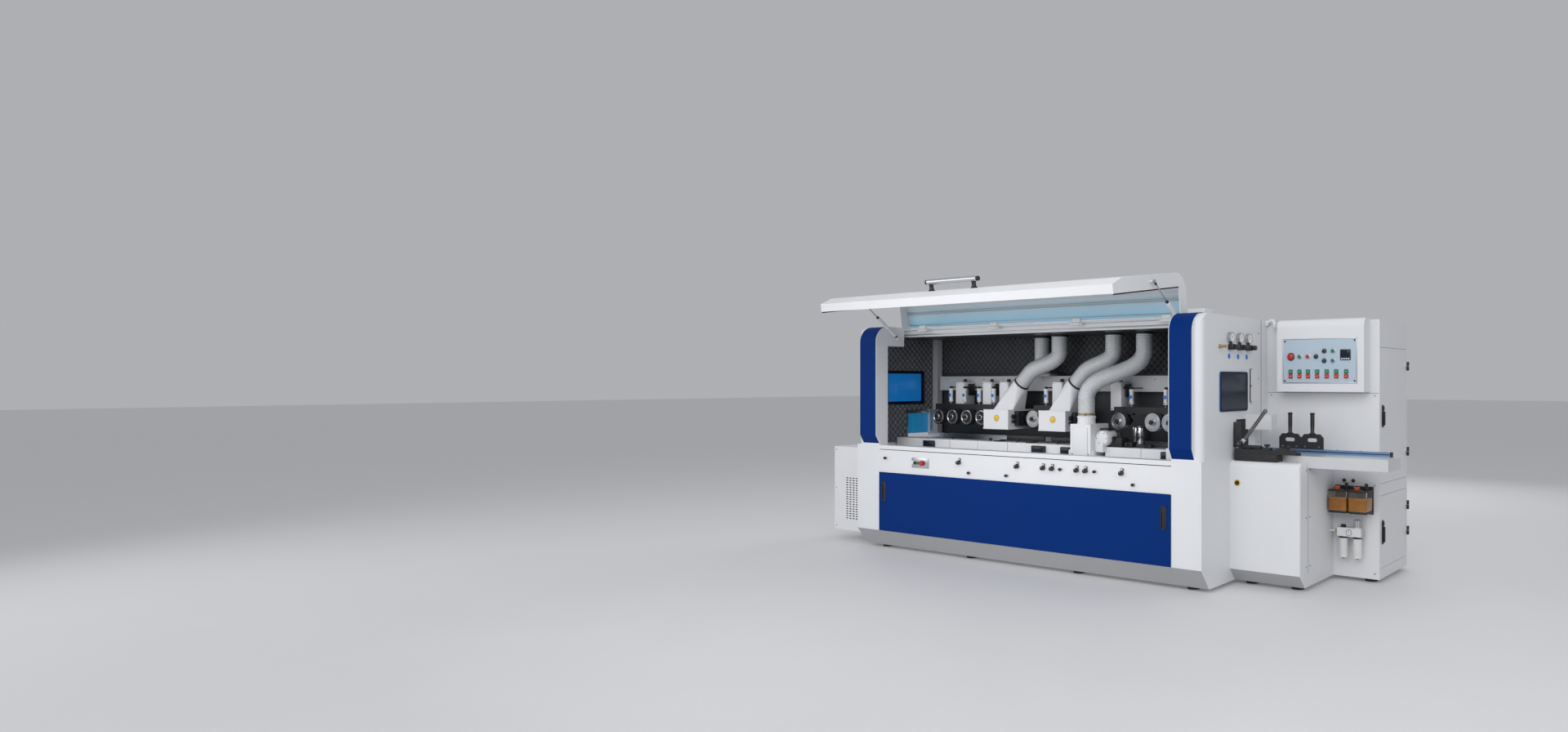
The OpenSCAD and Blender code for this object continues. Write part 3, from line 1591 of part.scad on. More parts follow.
module hood_knuckle(x) {
    l = lug_gap - 2*knuckle_gap;
    bar_x([x - l/2, 0, 0], knuckle_d, l);
    span([x - l/2, -strap_l, 0], [x + l/2, 0, knuckle_d/2]);
}

module closed_hood() {
    difference() {
        union() {
            difference() {
                hood_block(hood_x0, hood_x1, 0, -hinge_clear);
                translate([0, 0, -over])
                    hood_block(hood_x0 - over, hood_x1 + over, hood_t, 0);
                hood_block(hood_x0 - over, hood_x1 + over, hood_t, 0);
            }
            along_x(hood_x0, hood_x1)
                polygon([[hood_front, chamfer_h - hood_drop], [hood_front + chamfer_in, -hood_drop],
                    [hood_front + chamfer_in + lip_d, -hood_drop],
                    [hood_front + chamfer_in + lip_d, hood_t - hood_drop],
                    [hood_front + chamfer_in + hood_t/2, hood_t - hood_drop],
                        [hood_front + hood_t, chamfer_h - hood_drop]]);
            hood_flange(hood_x0);
            hood_flange(hood_x1 - hood_t);
            for (share = hinge_shares)
                hood_knuckle(hood_x0 + share*hood_l);
            bar_x([hood_x0 - hood_stud_l, hood_front + hood_stud_in, -hood_stud_drop], hood_stud_d,
                hood_stud_l + hood_t);
            bar_x([hood_x1 - hood_t, hood_front + hood_stud_in, -hood_stud_drop], hood_stud_d,
                hood_stud_l + hood_t);
        }
        for (share = hinge_shares)
            bar_x([hood_x0 + share*hood_l - lug_gap/2, 0, 0], hinge_pin_d + 2*run_gap, lug_gap);
    }
}

module swung() {
    translate([0, hinge_y, hinge_h])
        rotate([-hood_open, 0, 0])
            children();
}

module hood_shell() {
    color("whitesmoke") placed()
        swung()
            closed_hood();
}

// Grip bar on two posts near the hood's lip
grip_share = 0.4575;
grip_out = 60;
grip_lift = 45;
post_d = 22;
post_inset = 40;
module hood_handle() {
    x = hood_x0 + grip_share*hood_l;
    z = chamfer_h - hood_drop + grip_lift;
    color("silver") placed()
        swung() {
            bar_x([x - grip_l/2, hood_front - grip_out, z], grip_d, grip_l);
            for (side = [-1, 1])
                bar_y([x + side*(grip_l/2 - post_inset), hood_front - grip_out, z], post_d, grip_out);
        }
}

base_cabinet();
levelling_feet();
outfeed_frame();
infeed_frame();
pillar_cheeks();
rear_housing();
roof_plenum();
acoustic_lining();
view_windows();
machine_bed();
bed_plates();
feed_beam();
roller_arms();
air_cylinders();
suction_hoods();
dust_hoses();
spindle_carriers();
spindle_motors();
drive_belts();
outfeed_cabinet();
outfeed_curtain();
infeed_cabinet();
infeed_table();
guide_fence();
fence_brackets();
pressure_unit();
control_cabinet();
control_console();
console_panel();
sill_adjusters();
pressure_regulators();
lubrication_units();
air_service_unit();
front_panel();
hood_shell();
hood_handle();
outfeed_strut_tube();
outfeed_strut_rod();
infeed_strut_tube();
infeed_strut_rod();
feed_roller_1();
feed_roller_2();
feed_roller_3();
feed_roller_4();
feed_roller_5();
feed_roller_6();
feed_roller_7();
feed_roller_8();
bottom_spindle();
front_side_spindle();
rear_side_spindle();
top_spindle_1();
top_spindle_2();
upper_door();
lower_door();
emergency_stop();
sill_stop();
start_buttons();
stop_buttons();
clamp_lever();
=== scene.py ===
"""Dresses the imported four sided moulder: finishes, hoses, foam, controls and trim."""
import math
import bmesh
import bpy
from mathutils import Matrix, Vector


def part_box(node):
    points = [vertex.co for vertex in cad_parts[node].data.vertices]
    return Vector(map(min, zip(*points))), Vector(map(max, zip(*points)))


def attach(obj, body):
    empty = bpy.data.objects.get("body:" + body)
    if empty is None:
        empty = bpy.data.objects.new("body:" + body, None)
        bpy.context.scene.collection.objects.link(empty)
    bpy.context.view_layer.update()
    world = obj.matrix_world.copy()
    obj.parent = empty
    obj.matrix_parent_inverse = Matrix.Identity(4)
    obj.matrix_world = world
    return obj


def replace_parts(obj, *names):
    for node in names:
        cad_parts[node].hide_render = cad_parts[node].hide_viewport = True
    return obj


bl_info = {
    "name": "Four Sided Moulder Dressing",
    "version": (1, 0, 0),
    "blender": (4, 5, 0),
    "location": "View3D > Sidebar > Moulder",
    "description": "Adds finishes and fine pieces to a packed four sided moulder",
    "category": "Object",
}

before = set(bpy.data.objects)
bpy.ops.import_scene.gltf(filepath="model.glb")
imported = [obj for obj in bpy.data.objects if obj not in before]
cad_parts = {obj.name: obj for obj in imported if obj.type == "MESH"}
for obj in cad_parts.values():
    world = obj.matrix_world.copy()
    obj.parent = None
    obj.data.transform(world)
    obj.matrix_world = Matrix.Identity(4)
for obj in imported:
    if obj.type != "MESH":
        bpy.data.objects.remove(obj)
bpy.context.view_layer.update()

FRONT, BACK = Vector((0, -1, 0)), Vector((0, 1, 0))
INFEED, OUTFEED = Vector((1, 0, 0)), Vector((-1, 0, 0))
UP, DOWN = Vector((0, 0, 1)), Vector((0, 0, -1))

# The machine datum: infeed end face, front plane and floor, in the row frame
BASE_LOW, BASE_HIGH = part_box("base_cabinet")
DATUM = Matrix.Translation((BASE_HIGH[0], BASE_LOW[1], 0.0)) @ Matrix.Scale(0.001, 4)


def span(node):
    """Low and high corner of a node's box, in millimetres from the datum."""
    to_datum = DATUM.inverted()
    return [Vector([round(v, 1) for v in to_datum @ Vector(corner)]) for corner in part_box(node)]


# Main sizes and places in millimetres from the datum, most of them read from the frame
BODY_L = -span("base_cabinet")[0].x
PLINTH_SLOPES = ((99, 153), (75, 108))
ROLLER_LOW, ROLLER_HIGH = span("feed_roller_1")
ROLLER_R, ROLLER_W, SHAFT_OUT = 62.3, 50.0, 30.0
ROLLER_Z = (ROLLER_LOW.z + ROLLER_HIGH.z) / 2
SHAFT_END = 175.0
WORK_Y = ROLLER_LOW.y + SHAFT_OUT
ROLLER_X = [-BODY_L * 0.7243 - 150 * k for k in (3, 2, 1, 0)]
ROLLER_X += [-BODY_L * share for share in (0.5543, 0.3038, 0.2117)]
ROLLER_X.append(ROLLER_X[-1] + 134)
CYLINDER_Z = span("air_cylinders")[0].z
ROOF_Z = span("roof_plenum")[0].z
TOP_HOOD_X = [-BODY_L * share for share in (0.6491, 0.474)]
SIDE_X = -BODY_L * 0.3545
COLUMN_X = [-BODY_L * share for share in (0.8305, 0.7368, 0.6795, 0.5085, 0.3353)]
FOAM_LOW, FOAM_HIGH = span("acoustic_lining")
FOAM_T = 20.0
CABINET_Y = span("control_cabinet")[0].y
BACK_Y = span("rear_housing")[1].y

# The hood's hinge, its swing and the inner faces of its shell
HINGE_Y, HINGE_Z, HOOD_SWING, HOOD_RIM = 265.0, 1675.0, 82.0, 21.0
HOOD_X0, HOOD_X1 = span("hood_shell")[0].x + HOOD_RIM, span("hood_shell")[1].x - HOOD_RIM
HOOD_TURN = Matrix.Rotation(math.radians(-HOOD_SWING), 4, "X")
HOOD = DATUM @ Matrix.Translation((0, HINGE_Y, HINGE_Z)) @ HOOD_TURN
STUD_Y, STUD_Z, STRUT_TILT, STRUT_L = 178.0, 1610.0, 143.50387, 445.5368


def strut_place(x):
    """Frame of a strut: origin on its lower stud, +Y along the strut."""
    turn = Matrix.Rotation(math.radians(STRUT_TILT), 4, "X")
    return DATUM @ Matrix.Translation((x, STUD_Y, STUD_Z)) @ turn


def axes(axis):
    """Unit vectors along an axis and square to it."""
    along = Vector(axis).normalized()
    side = along.orthogonal().normalized()
    return along, side, along.cross(side)


def around(k, n, side, up):
    """Direction of step k of n round a circle."""
    t = 2 * math.pi * k / n
    return math.cos(t) * side + math.sin(t) * up


BOX_FACES = [[3, 2, 1, 0], [4, 5, 6, 7], [0, 1, 5, 4], [1, 2, 6, 5], [2, 3, 7, 6], [3, 0, 4, 7]]


class Shape:
    """Gathers solids in millimetres and turns them into one object."""

    def __init__(self, place=DATUM):
        self.bm = bmesh.new()
        self.place = place
        self.finishes = []
        self.now = 0

    def paint(self, name):
        """Later solids take this finish."""
        if name not in self.finishes:
            self.finishes.append(name)
        self.now = self.finishes.index(name)
        return self

    def add(self, points, faces, wear=None):
        """Adds a mesh; wear holds a finish for each face where they differ."""
        verts = [self.bm.verts.new(p) for p in points]
        for i, face in enumerate(faces):
            made = self.bm.faces.new([verts[k] for k in face])
            made.material_index = self.finishes.index(wear[i]) if wear else self.now
        return self

    def stack(self, points, seg):
        """Adds rings of seg points each as a closed skin with flat ends."""
        last = len(points) - seg
        faces = []
        for i in range(0, last, seg):
            for k in range(seg):
                a, b = i + k, i + (k + 1) % seg
                faces.append([a, b, b + seg, a + seg])
        faces.append(list(range(seg))[::-1])
        faces.append([last + k for k in range(seg)])
        return self.add(points, faces)

    def take(self, other):
        """Moves a finished small mesh into this one."""
        other.verts.index_update()
        points = [v.co.copy() for v in other.verts]
        faces = [[v.index for v in f.verts] for f in other.faces]
        other.free()
        return self.add(points, faces)

    def block(self, a, b, r=0.0, seg=2):
        """Box between two corners with rounded edges."""
        lo = Vector([min(p, q) for p, q in zip(a, b)])
        hi = Vector([max(p, q) for p, q in zip(a, b)])
        part = bmesh.new()
        bmesh.ops.create_cube(part, size=1.0)
        for v in part.verts:
            v.co = Vector([lo[i] + (v.co[i] + 0.5) * (hi[i] - lo[i]) for i in range(3)])
        if r > 0:
            r = min(r, min(hi - lo) * 0.49)
            bmesh.ops.bevel(part, geom=part.edges[:], offset=r, segments=seg, profile=0.5, affect="EDGES")
        return self.take(part)

    def blocks(self, r, *corners):
        """Several boxes with the same rounding."""
        for a, b in corners:
            self.block(a, b, r)
        return self

    def turned(self, at, axis, profile, seg=32):
        """Solid of revolution: profile holds (radius, height) along axis."""
        axis, side, up = axes(axis)
        at = Vector(at)
        points, faces, rings = [], [], []
        for r, h in profile:
            if r < 1e-6:
                rings.append([len(points)] * seg)
                points.append(at + axis * h)
                continue
            rings.append(list(range(len(points), len(points) + seg)))
            points += [at + axis * h + r * around(k, seg, side, up) for k in range(seg)]
        for low, high in zip(rings, rings[1:]):
            for k in range(seg):
                quad = [low[k], low[(k + 1) % seg], high[(k + 1) % seg], high[k]]
                quad = [q for i, q in enumerate(quad) if q not in quad[:i]]
                if len(quad) > 2:
                    faces.append(quad)
        if len(set(rings[0])) > 1:
            faces.append(rings[0][::-1])
        if len(set(rings[-1])) > 1:
            faces.append(rings[-1])
        return self.add(points, faces)

    def ring(self, at, axis, outer, inner, length, r=1.0, seg=32):
        """Tube with broken edges from at along axis."""
        axis, side, up = axes(axis)
        section = [(outer - r, 0), (outer, r), (outer, length - r), (outer - r, length),
                   (inner + r, length), (inner, length - r), (inner, r), (inner + r, 0)]
        points, faces, n = [], [], len(section)
        for k in range(seg):
            out = around(k, seg, side, up)
            points += [Vector(at) + out * rr + axis * h for rr, h in section]
        for k in range(seg):
            near, far = k * n, (k + 1) % seg * n
            for j in range(n):
                step = (j + 1) % n
                faces.append([near + j, far + j, far + step, near + step])
        return self.add(points, faces)

    def prism(self, outline, axis, low, high, r=0.0, seg=1):
        """Outline in the plane square to axis (x, y or z), carried from low to high."""
        n, slot = len(outline), "xyz".index(axis)
        part = bmesh.new()
        ends = []
        for w in (low, high):
            corners = [list(point) for point in outline]
            for corner in corners:
                corner.insert(slot, w)
            ends.append([part.verts.new(corner) for corner in corners])
        bottom, top = ends
        part.faces.new(bottom[::-1])
        part.faces.new(top)
        for i in range(n):
            part.faces.new([bottom[i], bottom[(i + 1) % n], top[(i + 1) % n], top[i]])
        bmesh.ops.recalc_face_normals(part, faces=part.faces[:])
        if r > 0:
            edges = [e for e in part.edges if len({v.co[slot] for v in e.verts}) == 1]
            bmesh.ops.bevel(part, geom=edges, offset=r, segments=seg, profile=0.5, affect="EDGES")
        return self.take(part)

    def lobed(self, at, axis, radius, length, lobes=6, depth=0.12, seg=48, r=1.5):
        """Grip knob with lobes round its rim."""
        axis, side, up = axes(axis)
        points = []
        for h, k in ((0.0, 0.9), (r, 1.0), (length - r, 1.0), (length, 0.9)):
            for j in range(seg):
                wave = math.cos(lobes * 2 * math.pi * j / seg)
                rr = radius * k * (1 - depth / 2 + depth / 2 * wave)
                points.append(Vector(at) + axis * h + rr * around(j, seg, side, up))
        return self.stack(points, seg)

    def sweep(self, path, radii, seg=16):
        """Round tube along a path; radii is one number or one for each point."""
        path = [Vector(p) for p in path]
        if not isinstance(radii, (list, tuple)):
            radii = [radii] * len(path)
        tangents = [(b - a).normalized() for a, b in zip(path[:1] + path[:-1], path[1:] + path[-1:])]
        side = tangents[0].orthogonal().normalized()
        points = []
        for p, t, r in zip(path, tangents, radii):
            side = (side - t * side.dot(t)).normalized()
            up = t.cross(side)
            points += [p + r * around(k, seg, side, up) for k in range(seg)]
        return self.stack(points, seg)

    def bolt(self, at, axis, d=10.0, h=5.0):
        """Socket head screw with a sunk hexagon look."""
        r = d / 2
        head = [(r, 0), (r, h - 1), (r - 1, h), (r * 0.55, h), (r * 0.5, h - 2), (0, h - 2)]
        return self.turned(at, axis, head, 16)

    def bolts(self, axis, d, h, *points):
        """Several screws of one size."""
        for at in points:
            self.bolt(at, axis, d, h)
        return self

    def done(self, name, body, slot, smooth=38.0):
        """Makes the object, which then rides on a body."""
        mesh = bpy.data.meshes.new(name)
        bmesh.ops.recalc_face_normals(self.bm, faces=self.bm.faces[:])
        self.bm.to_mesh(mesh)
        self.bm.free()
        mesh.transform(self.place)
        for wear in self.finishes:
            mesh.materials.append(FINISHES[wear])
        mesh.shade_smooth()
        mesh.set_sharp_from_angle(angle=math.radians(smooth))
        piece = bpy.data.objects.new(name, mesh)
        bpy.context.scene.collection.objects.link(piece)
        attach(piece, body)
        return piece


def box_at(shape, at, low, high, r, seg=2):
    """Box whose corners are given from a point."""
    return shape.block(at + Vector(low), at + Vector(high), r, seg)


FINISHES = {}


def add_node(tree, kind, **values):
    """New shader node with some of its inputs set."""
    node = tree.nodes.new("ShaderNode" + kind)
    for key, value in values.items():
        node.inputs[key.replace("_", " ")].default_value = value
    return node


def finish(name, colour, rough, metal=0.0, grain=160.0, vary=0.06, rough_vary=0.08, bump=0.03,
           stretch=(1.0, 1.0, 1.0), coat=0.0, alpha=1.0, glow=0.0, spec=0.5):
    """Makes a finish: grain in its colour, its gloss and its surface."""
    mat = bpy.data.materials.new("moulder_" + name)
    mat.use_nodes = True
    tree = mat.node_tree
    join = tree.links.new
    shader = tree.nodes["Principled BSDF"]
    coords = add_node(tree, "TexCoord")
    place = add_node(tree, "Mapping", Scale=stretch)
    join(coords.outputs["Object"], place.inputs["Vector"])
    fine = add_node(tree, "TexNoise", Scale=grain, Detail=4.0)
    join(place.outputs["Vector"], fine.inputs["Vector"])
    wide = add_node(tree, "TexNoise", Scale=2.3, Detail=3.0)
    join(coords.outputs["Object"], wide.inputs["Vector"])
    both = add_node(tree, "Math")
    both.operation = "ADD"
    join(fine.outputs["Fac"], both.inputs[0])
    join(wide.outputs["Fac"], both.inputs[1])
    half = add_node(tree, "Math")
    half.operation = "MULTIPLY"
    half.inputs[1].default_value = 0.5
    join(both.outputs[0], half.inputs[0])
    tint = add_node(tree, "ValToRGB")
    for end, position, share in zip(tint.color_ramp.elements, (0.25, 0.85), (1 - vary, 1 + vary)):
        end.position = position
        end.color = [min(c * share, 1.0) for c in colour] + [1.0]
    join(half.outputs[0], tint.inputs["Fac"])
    join(tint.outputs["Color"], shader.inputs["Base Color"])
    gloss = add_node(tree, "MapRange", From_Min=0.3, From_Max=0.7,
                     To_Min=max(rough - rough_vary, 0.02), To_Max=min(rough + rough_vary, 1.0))
    join(half.outputs[0], gloss.inputs["Value"])
    join(gloss.outputs["Result"], shader.inputs["Roughness"])
    relief = add_node(tree, "Bump", Strength=bump, Distance=0.001)
    join(fine.outputs["Fac"], relief.inputs["Height"])
    join(relief.outputs["Normal"], shader.inputs["Normal"])
    shader.inputs["Metallic"].default_value = metal
    shader.inputs["Coat Weight"].default_value = coat
    shader.inputs["Alpha"].default_value = alpha
    shader.inputs["Specular IOR Level"].default_value = spec
    if glow > 0:
        shader.inputs["Emission Color"].default_value = list(colour) + [1.0]
        shader.inputs["Emission Strength"].default_value = glow
    FINISHES[name] = mat
    return mat


def split_colour(name, axis, edge, low_colour, fade=0.0002):
    """Below a place along an axis, a finish goes over to another colour."""
    tree = FINISHES[name].node_tree
    join = tree.links.new
    shader = tree.nodes["Principled BSDF"]
    source = shader.inputs["Base Color"].links[0].from_socket
    coords = add_node(tree, "TexCoord")
    parts = add_node(tree, "SeparateXYZ")
    join(coords.outputs["Object"], parts.inputs[0])
    side = add_node(tree, "MapRange", From_Min=edge, From_Max=edge + fade, To_Min=1.0, To_Max=0.0)
    join(parts.outputs[axis], side.inputs["Value"])
    mix = add_node(tree, "Mix")
    mix.data_type = "RGBA"
    mix.inputs[7].default_value = list(low_colour) + [1.0]
    join(side.outputs["Result"], mix.inputs[0])
    join(source, mix.inputs[6])
    join(mix.outputs[2], shader.inputs["Base Color"])


def rounded(u0, v0, u1, v1, r, seg=6):
    """Outline of a rectangle with round corners."""
    centres = ((u1 - r, v0 + r), (u1 - r, v1 - r), (u0 + r, v1 - r), (u0 + r, v0 + r))
    points = []
    for turn, (cu, cv) in enumerate(centres):
        for k in range(seg + 1):
            t = math.radians(90 * (turn - 1 + k / seg))
            points.append((cu + r * math.cos(t), cv + r * math.sin(t)))
    return points


def colour_prop(name, text, value):
    """One colour in the panel."""
    return bpy.props.FloatVectorProperty(name=name, description=text, subtype="COLOR", size=3,
                                         min=0, max=1, default=value)


def length_prop(name, text, value):
    """One length in the panel, in metres."""
    return bpy.props.FloatProperty(name=name, description=text, unit="LENGTH", default=value, min=0.0001)


class MoulderColours(bpy.types.PropertyGroup):
    """Colours of the machine's main finishes."""
    casing: colour_prop("Casing", "Paint of the casings, hood and doors", (0.73, 0.74, 0.76))
    panels: colour_prop("Panels", "Paint of the front panel and the pillar cheeks", (0.0, 0.026, 0.165))
    inner: colour_prop("Inside", "Lining and inner walls of the chamber", (0.05, 0.052, 0.057))
    hose: colour_prop("Hose", "Skin of the dust hoses", (0.6, 0.62, 0.64))
    curtain: colour_prop("Curtain", "Outfeed strip curtain", (0.02, 0.38, 0.72))
    window: colour_prop("Window", "Outfeed viewing window", (0.01, 0.2, 0.6))
    oil: colour_prop("Oil", "Oil in the lubrication tanks", (0.31, 0.115, 0.006))


class MoulderSizes(bpy.types.PropertyGroup):
    """Sizes of the fine pieces."""
    rib_pitch: length_prop("Rib pitch", "Distance between hose ribs", 0.012)
    rib_depth: length_prop("Rib depth", "Height of a hose rib", 0.003)
    foam_pitch: length_prop("Foam pitch", "Distance between foam peaks", 0.052)
    foam_depth: length_prop("Foam relief", "Height of a foam peak", 0.014)
    knob: length_prop("Adjuster knob", "Radius of the sill knobs", 0.0145)


def colours():
    """Colours set in the panel."""
    return bpy.context.scene.moulder_colours


def sizes():
    """Sizes set in the panel."""
    return bpy.context.scene.moulder_sizes


# Which carried-over nodes wear each finish
WORN_BY = {
    "casing": ["base_cabinet", "outfeed_frame", "infeed_frame", "outfeed_cabinet", "infeed_cabinet",
               "control_cabinet", "control_console", "upper_door", "lower_door"],
    "rubber": ["levelling_feet", "drive_belts"],
    "panel_blue": ["pillar_cheeks", "front_panel"],
    "housing": ["rear_housing"],
    "roof": ["roof_plenum"],
    "window": ["view_windows"],
    "casting": ["machine_bed", "suction_hoods"],
    "ground_steel": ["bed_plates"],
    "beam_grey": ["feed_beam"],
    "arm_black": ["roller_arms", "spindle_carriers", "fence_brackets", "pressure_unit"],
    "cylinder": ["air_cylinders"],
    "motor": ["spindle_motors"],
    "table": ["infeed_table"],
    "fence_blue": ["guide_fence"],
    "panel_film": ["console_panel"],
    "oil_tank": ["lubrication_units"],
    "white_plastic": ["air_service_unit", "outfeed_strut_tube", "infeed_strut_tube"],
    "hood": ["hood_shell"],
    "satin_alu": ["hood_handle"],
    "polished": ["outfeed_strut_rod", "infeed_strut_rod"] + ["feed_roller_%d" % k for k in range(1, 9)],
    "lever_steel": ["clamp_lever"],
    "foam": ["acoustic_lining"],
    "curtain": ["outfeed_curtain"],
    "hose": ["dust_hoses"],
    "black": ["sill_adjusters", "pressure_regulators"],
    "red": ["emergency_stop", "sill_stop", "stop_buttons"],
    "green": ["start_buttons"],
    "cutter": ["bottom_spindle", "front_side_spindle", "rear_side_spindle", "top_spindle_1",
               "top_spindle_2"],
}
BRUSHED = {"bump": 0.04, "stretch": (0.3, 12, 12)}
SHEET_PAINT = {"grain": 420, "vary": 0.025, "bump": 0.05}


class MOULDER_OT_finishes(bpy.types.Operator):
    """Make the finishes and put one on every carried-over node"""
    bl_idname = "moulder.finishes"
    bl_label = "Finishes"

    def execute(self, context):
        c = colours()
        casing, dark = list(c.casing), list(c.inner)
        finish("casing", casing, 0.4, **SHEET_PAINT)
        finish("hood", [v * 1.03 for v in casing], 0.4, **SHEET_PAINT)
        # Hood lining: pale blue with a faint glow, which is painted light; below hinge height it turns over
        # 0.15 m to a deeper blue
        finish("hood_lining_glow", [0.62, 0.74, 0.8], 0.36, glow=0.05, **SHEET_PAINT)
        split_colour("hood_lining_glow", "Z", (HINGE_Z + 15) / 1000, [0.22, 0.56, 0.78], 0.15)
        # Plinth finish: the casing colour darkened to 0.55, painted shade for the plinth slopes that face
        # down towards the floor
        finish("plinth", [v * 0.55 for v in casing], 0.45, grain=420, vary=0.03, bump=0.05)
        finish("housing", casing, 0.36, **SHEET_PAINT)
        split_colour("housing", "Y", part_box("rear_housing")[0][1] + 0.006, dark)
        finish("roof", casing, 0.36, **SHEET_PAINT)
        split_colour("roof", "Z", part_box("roof_plenum")[0][2] + 0.003, [v * 0.9 for v in dark])
        finish("casting", [v * 1.02 for v in casing], 0.42, grain=260, vary=0.03, bump=0.12)
        finish("panel_blue", list(c.panels), 0.55, grain=520, vary=0.05, bump=0.05, spec=0.08)
        finish("navy", [0.002, 0.006, 0.03], 0.4, grain=300, vary=0.08, spec=0.3)
        finish("beam_grey", [0.5, 0.51, 0.53], 0.4, grain=300, vary=0.04, bump=0.08)
        finish("arm_black", [0.018, 0.018, 0.02], 0.46, grain=240, vary=0.2, bump=0.12)
        finish("black", [0.014, 0.014, 0.015], 0.38, grain=600, vary=0.2, bump=0.08)
        finish("rubber", [0.02, 0.02, 0.021], 0.72, grain=380, vary=0.2, bump=0.15)
        # Foam finishes are lit and shaded copies of the inside colour: painted light on the peaks, painted
        # shade in the dips, and the end walls painted lighter than the back wall
        for wear, share in (("foam", 1.5), ("foam_back_shaded", 0.6), ("foam_end_lit", 3.4), ("foam_end_shaded", 1.5)):
            finish(wear, [v * share for v in dark], 0.95, grain=900, vary=0.25, bump=0.5, spec=0.2)
        finish("ground_steel", [0.5, 0.52, 0.55], 0.3, 1.0, grain=70, vary=0.08, **BRUSHED)
        finish("table", [0.72, 0.73, 0.75], 0.34, 0.5, grain=60, vary=0.06, **BRUSHED)
        finish("fence_blue", [0.2, 0.34, 0.56], 0.3, 0.75, grain=60, vary=0.06, stretch=(0.3, 12, 12))
        finish("satin_alu", [0.6, 0.61, 0.63], 0.32, 1.0, grain=80, vary=0.06, stretch=(0.4, 9, 9))
        finish("polished", [0.52, 0.53, 0.55], 0.24, 1.0, grain=120, vary=0.05, rough_vary=0.05, bump=0.02)
        finish("lever_steel", [0.2, 0.205, 0.21], 0.36, 1.0, grain=120, vary=0.08)
        finish("cutter", [0.6, 0.61, 0.63], 0.22, 1.0, grain=120, vary=0.08)
        finish("motor", [0.12, 0.14, 0.17], 0.45, grain=240, vary=0.08, bump=0.1)
        finish("hose", list(c.hose), 0.34, 0.2, grain=90, vary=0.12, bump=0.12, coat=0.2)
        # The curtain glows at 0.12 in its own colour: painted light, since the strips are no lamp
        finish("curtain", list(c.curtain), 0.18, grain=60, vary=0.12, bump=0.05, coat=0.4,
               alpha=0.92, glow=0.12)
        finish("window", list(c.window), 0.12, grain=40, vary=0.05, bump=0.01, coat=0.5, alpha=0.9)
        # The lit window panel glows at 0.25: painted light, since the window is no lamp
        finish("window_lit", list(c.window), 0.2, grain=40, vary=0.06, bump=0.01, coat=0.4, glow=0.25)
        finish("smoke", [0.006, 0.012, 0.03], 0.16, grain=40, vary=0.08, bump=0.01, spec=0.35)
        finish("panel_film", [0.48, 0.58, 0.68], 0.4, 0.2, grain=300, vary=0.04, bump=0.05)
        finish("white_plastic", [0.72, 0.73, 0.74], 0.3, grain=400, vary=0.03, bump=0.04)
        finish("cylinder", [0.7, 0.71, 0.73], 0.3, 0.3, grain=200, vary=0.05, bump=0.05)
        finish("red", [0.5, 0.012, 0.012], 0.25, grain=300, coat=0.3)
        finish("green", [0.0, 0.19, 0.1], 0.3, grain=300, coat=0.2)
        finish("orange", [0.75, 0.1, 0.01], 0.3, grain=300)
        finish("yellow", [0.78, 0.5, 0.02], 0.35, grain=300, vary=0.05)
        finish("disc_blue", [0.01, 0.16, 0.7], 0.35, grain=300, vary=0.05)
        finish("brass", [0.55, 0.4, 0.16], 0.28, 1.0, vary=0.08)
        finish("screw", [0.3, 0.31, 0.32], 0.35, 1.0, grain=200, vary=0.1)
        finish("oil_tank", list(c.oil), 0.12, grain=50, vary=0.3, bump=0.02, coat=0.4)
        finish("clear", [0.86, 0.78, 0.62], 0.1, grain=50, vary=0.05, coat=0.2, alpha=0.1)
        finish("dial", [0.85, 0.85, 0.84], 0.35, grain=200, vary=0.03)
        for wear, nodes in WORN_BY.items():
            for node in nodes:
                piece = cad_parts[node]
                if not piece.material_slots:
                    piece.data.materials.append(FINISHES[wear])
                for held in piece.material_slots:
                    held.material = FINISHES[wear]
        return {"FINISHED"}


def curve(a, b, c, d, n):
    """Points of a cubic bend."""
    out = []
    for i in range(n + 1):
        t = i / n
        out.append((1 - t) ** 3 * a + 3 * (1 - t) ** 2 * t * b + 3 * (1 - t) * t * t * c + t ** 3 * d)
    return out


def even(path, step):
    """Points at even steps along a path, with its length."""
    lengths = [0.0]
    for p, q in zip(path, path[1:]):
        lengths.append(lengths[-1] + (q - p).length)
    n = max(int(round(lengths[-1] / step)), 2)
    out, j = [], 0
    for i in range(n + 1):
        s = lengths[-1] * i / n
        while j < len(path) - 2 and lengths[j + 1] < s:
            j += 1
        part = max(lengths[j + 1] - lengths[j], 1e-9)
        out.append(path[j].lerp(path[j + 1], (s - lengths[j]) / part))
    return out, lengths[-1]


# Each hose: share of the length, depth and height of its ends, way into the lower one, bend
HOSE_D = 118.0
HOSE_R = HOSE_D / 2
TILT = Vector((math.sin(math.radians(45)), 0, math.cos(math.radians(45))))
HOSE_ENDS = [
    (0.5785, 690, 0.5785, 690, 1340, UP, 0.0),
    (0.4967, 580, 0.603, 530, 1260, TILT, 100.0),
    (0.338, 580, 0.4374, 530, 1260, TILT, 100.0),
    (0.2525, 580, 0.3545, 323, 1045, UP, 200.0),
]
HOSES = []
for top_share, top_y, end_share, end_y, end_z, hose_way, hose_bend in HOSE_ENDS:
    hose_top = Vector((-top_share * BODY_L, top_y, ROOF_Z))
    HOSES.append((hose_top, Vector((-end_share * BODY_L, end_y, end_z)), hose_way, hose_bend))


